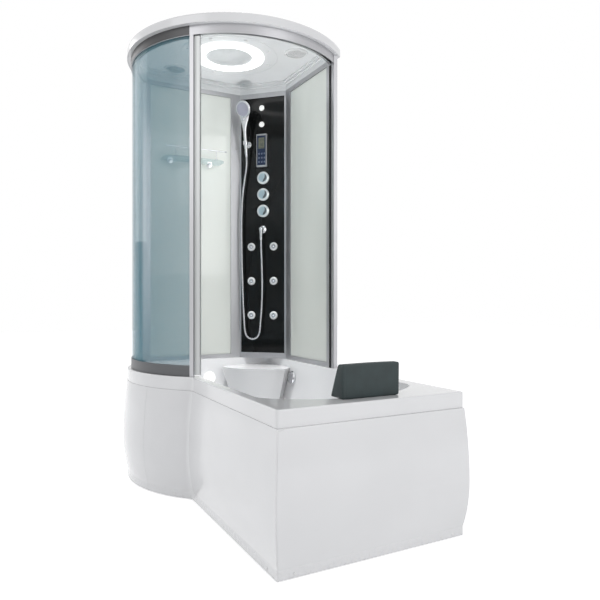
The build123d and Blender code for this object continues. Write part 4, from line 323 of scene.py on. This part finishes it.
COLUMN_OUT = Vector((sqrt(0.5), -sqrt(0.5), 0))
KNOB_ALONG = 7
KNOB_RING = 25 * MM
KNOB_RING_EDGE = 1 * MM
# How far out of the column the painted shade on the knob's front starts and where it is full
SHADE_OUT_START = 18.2 * MM
SHADE_OUT_END = 19.2 * MM


def knob_finish(name, height):
    """Bright plated knob with a pale glassy middle and painted shade on its outermost part."""
    finish = Finish(name, coat_weight=0.8, coat_roughness=0.03)
    middle = column_point(KNOB_ALONG, height, 0)
    offset = finish.node("VectorMath", {"operation": "SUBTRACT"}, {0: finish.place(), 1: middle})
    across = finish.node("VectorMath", {"operation": "CROSS_PRODUCT"}, {0: offset, 1: COLUMN_OUT})
    radius = finish.node("VectorMath", {"operation": "LENGTH"}, {0: across}, "Value")
    settings = {"operation": "DOT_PRODUCT"}
    out = finish.node("VectorMath", settings, {0: offset, 1: COLUMN_OUT}, "Value")
    film = finish.noise(40, 3)
    # Painted shade: the part of the knob furthest out of the column is coloured dark grey
    painted_shade = out.between(SHADE_OUT_START, SHADE_OUT_END)
    inside = radius.between(KNOB_RING + KNOB_RING_EDGE, KNOB_RING) * (1 - painted_shade)
    body = finish.mix(film.between(0.3, 0.7), colour(240, 243, 244), colour(226, 232, 234))
    body = finish.mix(inside * 0.9, body, colour(150, 178, 188))
    body = finish.mix(painted_shade, body, colour(84, 92, 96))
    finish.set(base_color=body, metallic=0.35 * (1 - inside), roughness=0.1 + film * 0.12)
    finish.relief(film, 0.03 * MM, 0.8 * MM)
    return finish.material


WHITE = colour(229, 229, 230)
SILVER = colour(188, 188, 191)
GRAIN_UP = (1400, 1400, 5)
GRAIN_ROUND = (8, 8, 1500)

SLOT_FINISHES = {
    "white_acrylic": acrylic("white_acrylic", WHITE),
    "white_trim": acrylic("white_trim", colour(234, 234, 234), 0.3),
    "ceiling_acrylic": acrylic("ceiling_acrylic", colour(238, 239, 240), 0.7),
    "silver_profile": anodised("silver_upright", SILVER, GRAIN_UP),
    "dark_profile": anodised("dark_upright", colour(98, 99, 100), GRAIN_UP, 0.3),
    "tinted_glass": glass("tinted_glass", (0.09, 0.27, 0.34), 0.2, 0.7),
    "frosted_glass": coated_glass("frosted_glass", colour(222, 225, 219)),
    "shelf_clear": glass("shelf_glass", (0.35, 0.5, 0.52), 0.16, 0.8),
    "black_panel": lacquer("black_panel", (0.006, 0.0065, 0.0065)),
    "chrome": plated("chrome", colour(228, 229, 232)),
    "brass": metal("brass", colour(190, 158, 92), 0.3, 0.1),
    "hose_metal": plated("hose_metal", colour(208, 208, 212), 0.16, drops=0.2),
    "pale_knob": knob_finish("temperature_knob_finish", 1589),
    "spray_grey": moulded("spray_grey", colour(176, 176, 190), 0.4),
    "lamp_white": lit("lamp_white", colour(246, 246, 244), 0.35),
    "display": lacquer("display", (0.022, 0.035, 0.075), 0.2),
    "headrest_foam": leather("headrest_skin", colour(40, 51, 52)),
    "rubber_black": moulded("rubber_black", (0.012, 0.012, 0.013), 0.6, 700, 0.1),
    "frame_steel": metal("frame_steel", colour(168, 171, 174), 0.38),
    "zinc_steel": metal("zinc_steel", colour(196, 197, 196), 0.3),
    "pipe_plastic": moulded("pipe_plastic", colour(214, 214, 210), 0.4),
    "pump_plastic": moulded("pump_plastic", (0.02, 0.02, 0.022), 0.5, 260, 0.12),
    "motor_paint": moulded("motor_paint", colour(78, 86, 94), 0.35, 300, 0.1),
}
ROUND_SILVER = anodised("silver_rail", SILVER, GRAIN_ROUND)
NODE_FINISHES = {
    "bottom_rail": anodised("dark_bottom_rail", colour(100, 101, 103), GRAIN_ROUND, 0.3),
    "rail_cover": anodised("dark_rail_cover", colour(86, 86, 87), GRAIN_ROUND, 0.3),
    "top_rail": ROUND_SILVER,
    "door_frame": anodised("door_silver", colour(192, 194, 194), GRAIN_UP, 0.3),
    "ceiling_lamp": lit("ceiling_lamp", colour(250, 250, 250), 1.6),
    "rain_disc": moulded("rain_disc", colour(214, 216, 217), 0.25),
    "diverter_knob": knob_finish("diverter_knob_finish", 1492),
    "flow_knob": knob_finish("flow_knob_finish", 1396),
    "shower_holder": plated("holder_plating", colour(236, 236, 238), 0.22),
    "hand_shower": plated("hand_shower_plating", colour(238, 238, 240), 0.24),
}


def dress_frame():
    """Every CAD node gets its finish."""
    for row in frame["record"]["subparts"]:
        node = frame["nodes"][row["node"]]
        material = NODE_FINISHES.get(row["node"]) or SLOT_FINISHES[row["material_slot"]]
        if not node.material_slots:
            node.data.materials.append(material)
        for slot in node.material_slots:
            slot.material = material


dress_frame()


# Pieces modelled here
def piece(name, mesh, body, slot, smooth=True):
    """An object in its place that rides on a body and takes a slot's finish."""
    made = bpy.data.objects.new(name, mesh)
    bpy.context.scene.collection.objects.link(made)
    mesh.materials.append(SLOT_FINISHES[slot])
    for polygon in mesh.polygons:
        polygon.use_smooth = smooth
    if body:
        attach(made, body)
    return made


def mesh_of(name, points, faces):
    mesh = bpy.data.meshes.new(name)
    mesh.from_pydata([tuple(point) for point in points], [], faces)
    mesh.update()
    return mesh


# Hose points on the column: along it, height, out of it, in millimetres
HOSE_ROUTE = (
    (2, 1243, 30),
    (2, 1190, 30),
    (7, 1085, 29),
    (9, 935, 27),
    (4, 815, 26),
    (-3, 745, 25.5),
    (-8, 684, 25),
    (-25, 658, 24.5),
    (-53, 648, 24),
    (-82, 657, 24),
    (-99, 683, 24),
    (-105, 742, 24.5),
    (-111, 855, 25),
    (-116, 1005, 26),
    (-120, 1170, 27),
    (-121.5, 1335, 27),
    (-117, 1470, 25.5),
    (-102, 1585, 24),
    (-89.5, 1648, 26),
    (-86, 1697.77, 31.99),
    (-86, 1739, 40),
)
HOSE_LOOP = (-120, 1260, 27)
HOSE_DIAMETER = 12 * MM
HOSE_RIB = 3.2 * MM
HOSE_GROOVE = 0.6 * MM
HOSE_SIDES = 14
RIB_POINTS = 4
HOSE_SEAT = 0.4 * MM
HANDLE_FERRULE = 30 * MM
OUTLET_FERRULE = 18 * MM


def hose_line():
    """Points along the hose's smooth line, a few to each rib."""
    data = bpy.data.curves.new("hose_line", "CURVE")
    data.dimensions = "3D"
    data.resolution_u = 24
    spline = data.splines.new("NURBS")
    spline.points.add(len(HOSE_ROUTE) - 1)
    for point, place in zip(spline.points, HOSE_ROUTE):
        point.co = (*column_point(*place), 1)
    spline.order_u = 3
    spline.use_endpoint_u = True
    line = bpy.data.objects.new("hose_line", data)
    found = bpy.data.meshes.new_from_object(line)
    corners = [vertex.co.copy() for vertex in found.vertices]
    bpy.data.objects.remove(line)
    spacing = HOSE_RIB / RIB_POINTS
    points = [corners[0]]
    left = spacing
    for start, end in zip(corners, corners[1:]):
        run = (end - start).length
        while left <= run:
            points.append(start.lerp(end, left / run))
            left += spacing
        left -= run
    return points


def tube(points, radii, sides):
    """Corners and faces of a tube along points, closed at both ends."""
    corners = []
    side = None
    for index, point in enumerate(points):
        before = points[max(index - 1, 0)]
        after = points[min(index + 1, len(points) - 1)]
        along = (after - before).normalized()
        side = side or along.orthogonal()
        side = (side - along * side.dot(along)).normalized()
        other = along.cross(side)
        for turn in range(sides):
            angle = 2 * pi * turn / sides
            corners.append(point + (side * cos(angle) + other * sin(angle)) * radii[index])
    faces = []
    for ring in range(len(points) - 1):
        for turn in range(sides):
            here = ring * sides + turn
            beside = ring * sides + (turn + 1) % sides
            faces.append((here, beside, beside + sides, here + sides))
    faces.append(tuple(reversed(range(sides))))
    last = (len(points) - 1) * sides
    faces.append(tuple(last + turn for turn in range(sides)))
    return corners, faces


def ring_solid(name, base, direction, outline, sides=40):
    """A turned piece from an outline of (radius, distance) along a direction."""
    points = [base + direction * distance for radius, distance in outline]
    corners, faces = tube_rings(points, [radius for radius, distance in outline], direction, sides)
    return mesh_of(name, corners, faces)


def tube_rings(points, radii, direction, sides):
    """Rings square to one direction, joined in turn and closed into a loop of rings."""
    side = direction.orthogonal().normalized()
    other = direction.cross(side).normalized()
    corners = []
    for point, radius in zip(points, radii):
        for turn in range(sides):
            angle = 2 * pi * turn / sides
            corners.append(point + (side * cos(angle) + other * sin(angle)) * radius)
    faces = []
    rings = len(points)
    for ring in range(rings):
        following = (ring + 1) % rings
        for turn in range(sides):
            beside = (turn + 1) % sides
            faces.append(
                (
                    ring * sides + turn,
                    ring * sides + beside,
                    following * sides + beside,
                    following * sides + turn,
                )
            )
    return corners, faces


def ferrule(name, base, direction, length, body):
    """Tapered sleeve with a grip ring over an end of the hose."""
    inner = HOSE_DIAMETER / 2 + 0.05 * MM
    outline = (
        (inner, 0),
        (8.2 * MM, 0),
        (8.4 * MM, 1 * MM),
        (8.4 * MM, 0.35 * length),
        (7.9 * MM, 0.38 * length),
        (7.9 * MM, 0.42 * length),
        (8.2 * MM, 0.45 * length),
        (7.6 * MM, 0.9 * length),
        (7.0 * MM, length),
        (inner, length),
    )
    return piece(name, ring_solid(name, base, direction, outline), body, "chrome")


def hose():
    """Ribbed metal hose on a fixed curved line between the column and the hand shower."""
    points = hose_line()
    radius = HOSE_DIAMETER / 2
    last = (len(points) - 1) / RIB_POINTS
    radii = []
    for index in range(len(points)):
        turns = index / RIB_POINTS
        rib = 0.5 + 0.5 * cos(2 * pi * turns)
        plain = min(turns, last - turns) < HOSE_DIAMETER / HOSE_RIB
        radii.append(radius if plain else radius - HOSE_GROOVE * (1 - rib))
    mesh = mesh_of("shower_hose_ribbed", *tube(points, radii, HOSE_SIDES))
    made = piece("shower_hose_ribbed", mesh, None, "hose_metal")
    foot = column_point(*HOSE_ROUTE[-1])
    run = (column_point(*HOSE_ROUTE[-2]) - foot).normalized()
    upper = ferrule("handle_ferrule", foot + run * HOSE_SEAT, run, HANDLE_FERRULE, "hand_shower")
    outlet = column_point(*HOSE_ROUTE[0])
    down = Vector((0, 0, -1))
    lower = ferrule("outlet_ferrule", outlet + down * HOSE_SEAT, down, OUTLET_FERRULE, "root")
    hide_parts("shower_hose")
    loop = column_point(*HOSE_LOOP)
    column_point(*HOSE_ROUTE[-2])
    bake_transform(made)


hose()


# Headrest. Crowns are how far a face swells, and seams are shares of half its width.
PAD_EDGE = 7 * MM
PAD_SEAM = 13 * MM
PAD_BACK = 727 * MM
PAD_FOOT = 86 * MM
PAD_HEAD = 34 * MM
PAD_GROOVE = 1.6 * MM
PAD_SIDE_GAP = 1 * MM
PAD_FACE_CROWN = 4 * MM
PAD_BACK_CROWN = 6 * MM
PAD_TOP_CROWN = 2.5 * MM
PAD_END_CROWN = 2.5 * MM
SEAM_HALF = 0.012
SEAM_STEP = 0.014
SEAM_CLEAR = 0.05


def steps(count, edge, seam):
    """Places from -1 to 1, closer together by the edge and by the seam."""
    near = [1, 1 - 0.3 * edge, 1 - 0.65 * edge, 1 - edge]
    near += [1 - seam + SEAM_STEP, 1 - seam, 1 - seam - SEAM_STEP]
    inner = 1 - seam - SEAM_CLEAR
    middle = [inner * (2 * index / count - 1) for index in range(count + 1)]
    return sorted([-place for place in near] + middle + near)


def box_faces(places):
    """The six sides of a box as grids over its places along x, y and z."""
    corners, faces = [], []
    for axis in range(3):
        across, up = [other for other in range(3) if other != axis]
        for end in (-1, 1):
            first = len(corners)
            for a in places[across]:
                for b in places[up]:
                    corner = [0, 0, 0]
                    corner[axis], corner[across], corner[up] = end, a, b
                    corners.append(corner)
            wide = len(places[up])
            for i in range(len(places[across]) - 1):
                for j in range(wide - 1):
                    here = first + i * wide + j
                    quad = (here, here + wide, here + wide + 1, here + 1)
                    outward = (end > 0) == (axis != 1)
                    faces.append(quad if outward else tuple(reversed(quad)))
    return corners, faces


def headrest():
    """Foam wedge under a sewn skin: crowned faces, soft edges and end seams."""
    low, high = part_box("headrest")
    wide = (high.y - low.y) / 2 - PAD_SIDE_GAP
    half = Vector((PAD_FOOT / 2, wide, (high.z - low.z) / 2))
    middle = Vector((0, (high.y + low.y) / 2, (high.z + low.z) / 2))
    seam = PAD_SEAM / half.y
    places = [
        steps(8, PAD_EDGE / half.x, 0.45),
        steps(20, PAD_EDGE / half.y, seam),
        steps(10, PAD_EDGE / half.z, 0.3),
    ]
    corners, faces = box_faces(places)
    points = []
    for a, b, c in corners:
        spot = Vector((a * half.x, b * half.y, c * half.z))
        core = Vector([max(-h + PAD_EDGE, min(h - PAD_EDGE, s)) for s, h in zip(spot, half)])
        out = spot - core
        if out.length > 0:
            spot = core + out.normalized() * PAD_EDGE
        room = (1 - b * b) * (1 - c * c)
        crown = (1 - b * b) * (1 - a * a) if c > 0 else 0
        spot.x += (PAD_FACE_CROWN if a > 0 else -PAD_BACK_CROWN) * room * abs(a)
        spot.z += PAD_TOP_CROWN * crown * c
        spot.y += PAD_END_CROWN * b * abs(b) * (1 - c * c) * (1 - a * a)
        groove = max(0, 1 - abs(abs(b) - (1 - seam)) / SEAM_HALF) if abs(b) < 1 else 0
        if groove and c > -1:
            inward = Vector((a if abs(a) == 1 else 0, 0, c if c == 1 else 0))
            spot -= inward * PAD_GROOVE * groove
        height = (spot.z + half.z) / (2 * half.z)
        depth = PAD_FOOT + (PAD_HEAD - PAD_FOOT) * height
        x = PAD_BACK - depth / 2 + spot.x * depth / PAD_FOOT
        points.append(Vector((x, middle.y + spot.y, middle.z + spot.z)))
    mesh = mesh_of("headrest_pad", points, faces)
    shape = bmesh.new()
    shape.from_mesh(mesh)
    bmesh.ops.remove_doubles(shape, verts=shape.verts[:], dist=0.01 * MM)
    bmesh.ops.recalc_face_normals(shape, faces=shape.faces[:])
    shape.to_mesh(mesh)
    shape.free()
    pad = piece("headrest_pad", mesh, "root", "headrest_foam")
    rounding = pad.modifiers.new("rounding", "SUBSURF")
    rounding.levels = 1
    rounding.render_levels = 1
    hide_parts("headrest")


headrest()


# Display and keys of the control unit, in millimetres on the column. A figure has its
# width, height and bar, and its pitch to the next one.
FACE_OUT = 14
PLATE_GAP = 0.02
DISPLAY = (-20, 17, 1760, 1823)
SCREEN_THICK = 0.3
FIGURE_THICK = 0.42
MARK_THICK = 0.25
SMALL_FIGURE = (6.5, 13, 1.4)
SMALL_PITCH = 9
LARGE_FIGURE = (9, 18, 1.8)
LARGE_PITCH = 12
BAR_PITCH = 7
KEY_COUNT = 3
KEY_START = (-20, 1678)
KEY_PITCH = (16.5, 24)
KEY_SIZE = 8
KEY_LINE = 1.3
LCD = Finish("lcd", roughness=0.25, coat_weight=0.5, coat_roughness=0.03)
LCD_FILM = LCD.noise(60, 3)
LCD.set(base_color=LCD.mix(LCD_FILM, colour(98, 102, 86), colour(110, 113, 95)))
LCD.relief(LCD_FILM, 0.02 * MM)
INK = moulded("lcd_ink", (0.015, 0.018, 0.02), 0.4)
ICON = moulded("key_icons", colour(150, 165, 190), 0.4)
SEGMENTS = {
    "0": "abcdef",
    "1": "bc",
    "2": "abged",
    "3": "abgcd",
    "5": "afgcd",
    "8": "abcdefg",
}


def plates(name, boxes, thick, material, slot="display"):
    """Thin plates on the control unit's face, each a box (left, right, low, high)."""
    corners, faces = [], []
    for left, right, low, high in boxes:
        first = len(corners)
        for out in (FACE_OUT + PLATE_GAP, FACE_OUT + PLATE_GAP + thick):
            for along, height in ((left, low), (right, low), (right, high), (left, high)):
                corners.append(column_point(along, height, out))
        faces += [
            tuple(first + corner for corner in face)
            for face in (
                (3, 2, 1, 0),
                (4, 5, 6, 7),
                (0, 1, 5, 4),
                (1, 2, 6, 5),
                (2, 3, 7, 6),
                (3, 0, 4, 7),
            )
        ]
    made = piece(name, mesh_of(name, corners, faces), "root", slot, smooth=False)
    made.material_slots[0].material = material
    return made


def digit(mark, left, low, wide, tall, bar):
    """Bars of one seven-segment figure."""
    right, high, middle = left + wide, low + tall, low + tall / 2
    bars = {
        "a": (left, right, high - bar, high),
        "b": (right - bar, right, middle, high),
        "c": (right - bar, right, low, middle),
        "d": (left, right, low, low + bar),
        "e": (left, left + bar, low, middle),
        "f": (left, left + bar, middle, high),
        "g": (left, right, middle - bar / 2, middle + bar / 2),
    }
    return [bars[segment] for segment in SEGMENTS[mark]]


def key_mark(left, low, tall):
    """Open square with a short bar inside it, upright or level."""
    right, high = left + KEY_SIZE, low + KEY_SIZE
    bars = [(left, right, low, low + KEY_LINE), (left, right, high - KEY_LINE, high)]
    for start in (left, right - KEY_LINE):
        bars.append((start, start + KEY_LINE, low + KEY_LINE, high - KEY_LINE))
    if tall:
        return bars + [(left + 3.2, left + 4.8, low + 2.6, low + 5.4)]
    return bars + [(left + 2.6, left + 5.4, low + 3.3, low + 4.7)]


def display():
    """Screen with plain figures, and rows of plain key marks below it."""
    left, right, low, high = DISPLAY
    plates("display_screen", [DISPLAY], SCREEN_THICK, LCD.material)
    figures = []
    for index, mark in enumerate("1230"):
        shift = index * SMALL_PITCH + (2 if index > 1 else 0)
        figures += digit(mark, left + 4 + shift, high - 20, *SMALL_FIGURE)
    for index, mark in enumerate("38"):
        figures += digit(mark, left + 8 + index * LARGE_PITCH, low + 14, *LARGE_FIGURE)
    for index in range(5):
        start = left + 4 + index * BAR_PITCH
        figures.append((start, start + 4, low + 4, low + 7))
    plates("display_figures", figures, FIGURE_THICK, INK)
    marks = []
    for row in range(KEY_COUNT):
        for column in range(KEY_COUNT):
            along = KEY_START[0] + column * KEY_PITCH[0]
            height = KEY_START[1] + row * KEY_PITCH[1]
            marks += key_mark(along, height, (row + column) % 2)
    plates("key_marks", marks, MARK_THICK, ICON)


display()


# Studio
FLOOR_SIZE = 14
FLOOR_GLOW = 0.5
EVEN_LIGHT = 0.62
LIGHT_AIM = Vector((0, 0, 1.0))


def studio_floor():
    """Pale floor that stays white around the object and keeps its shadow."""
    size = FLOOR_SIZE
    corners = [(-size, -size, 0), (size, -size, 0), (size, size, 0), (-size, size, 0)]
    floor = bpy.data.objects.new("floor", mesh_of("floor", corners, [(0, 1, 2, 3)]))
    bpy.context.scene.collection.objects.link(floor)
    finish = Finish("floor", base_color=(0.9, 0.9, 0.9), roughness=0.9)
    path = finish.node("LightPath", output="Is Camera Ray")
    glossy = finish.node("LightPath", output="Is Glossy Ray")
    through = finish.node("LightPath", output="Is Transmission Ray")
    seen = path.maths("MAXIMUM", path, glossy.maths("MAXIMUM", glossy, through))
    tree = finish.tree
    bright = tree.nodes.new("ShaderNodeBsdfPrincipled")
    bright.inputs["Base Color"].default_value = (0.93, 0.93, 0.93, 1)
    bright.inputs["Roughness"].default_value = 0.9
    bright.inputs["Emission Color"].default_value = (1, 1, 1, 1)
    bright.inputs["Emission Strength"].default_value = FLOOR_GLOW
    mixer = tree.nodes.new("ShaderNodeMixShader")
    tree.links.new(seen.socket, mixer.inputs[0])
    tree.links.new(finish.shader.outputs[0], mixer.inputs[1])
    tree.links.new(bright.outputs[0], mixer.inputs[2])
    tree.links.new(mixer.outputs[0], tree.nodes["Material Output"].inputs["Surface"])
    floor.data.materials.append(finish.material)


def studio_world():
    """White to look at, and an even pale light on the object."""
    world = bpy.data.worlds.new("studio")
    world.use_nodes = True
    bpy.context.scene.world = world
    tree = world.node_tree
    even = tree.nodes["Background"]
    even.inputs["Color"].default_value = (0.97, 0.98, 1, 1)
    even.inputs["Strength"].default_value = EVEN_LIGHT
    white = tree.nodes.new("ShaderNodeBackground")
    white.inputs["Color"].default_value = (1, 1, 1, 1)
    path = tree.nodes.new("ShaderNodeLightPath")
    seen = path.outputs["Is Camera Ray"]
    for name in ("Is Glossy Ray", "Is Transmission Ray"):
        either = tree.nodes.new("ShaderNodeMath")
        either.operation = "MAXIMUM"
        tree.links.new(seen, either.inputs[0])
        tree.links.new(path.outputs[name], either.inputs[1])
        seen = either.outputs[0]
    mixer = tree.nodes.new("ShaderNodeMixShader")
    tree.links.new(seen, mixer.inputs[0])
    tree.links.new(even.outputs[0], mixer.inputs[1])
    tree.links.new(white.outputs[0], mixer.inputs[2])
    tree.links.new(mixer.outputs[0], tree.nodes["World Output"].inputs["Surface"])


def soft_light(name, place, size, power):
    """Wide lamp that points at the middle of the object."""
    data = bpy.data.lights.new(name, "AREA")
    data.shape = "SQUARE"
    data.size = size
    data.energy = power
    lamp = bpy.data.objects.new(name, data)
    lamp.location = place
    towards = LIGHT_AIM - Vector(place)
    lamp.rotation_euler = towards.to_track_quat("-Z", "Y").to_euler()
    lamp.visible_camera = False
    bpy.context.scene.collection.objects.link(lamp)


studio_floor()
studio_world()
soft_light("key_light", (1.2, -4.2, 3.2), 2.6, 26)
soft_light("side_light", (4.6, 1.4, 2.4), 2.4, 52)
soft_light("back_light", (-3.8, -2.4, 2.6), 2.2, 26)


# Lamps inside the cabin, which the roof and glass keep dark otherwise
CABIN_LAMP_PLACE = (-0.4, 0.05)
CABIN_LAMP_SIZE = 0.3


def cabin_light(name, height, upward, spread, power):
    """Round lamp on the cabin's middle line that faces the roof or the bath."""
    data = bpy.data.lights.new(name, "AREA")
    data.shape = "DISK"
    data.size = CABIN_LAMP_SIZE
    data.spread = radians(spread)
    data.energy = power
    lamp = bpy.data.objects.new(name, data)
    lamp.location = (*CABIN_LAMP_PLACE, height)
    lamp.rotation_euler = (pi if upward else 0, 0, 0)
    lamp.visible_camera = False
    lamp.visible_glossy = False
    lamp.visible_transmission = False
    bpy.context.scene.collection.objects.link(lamp)


cabin_light("roof_light", 0.45, True, 60, 1.8)
cabin_light("basin_light", 1.95, False, 55, 3.2)

bpy.context.scene.view_settings.view_transform = "Standard"
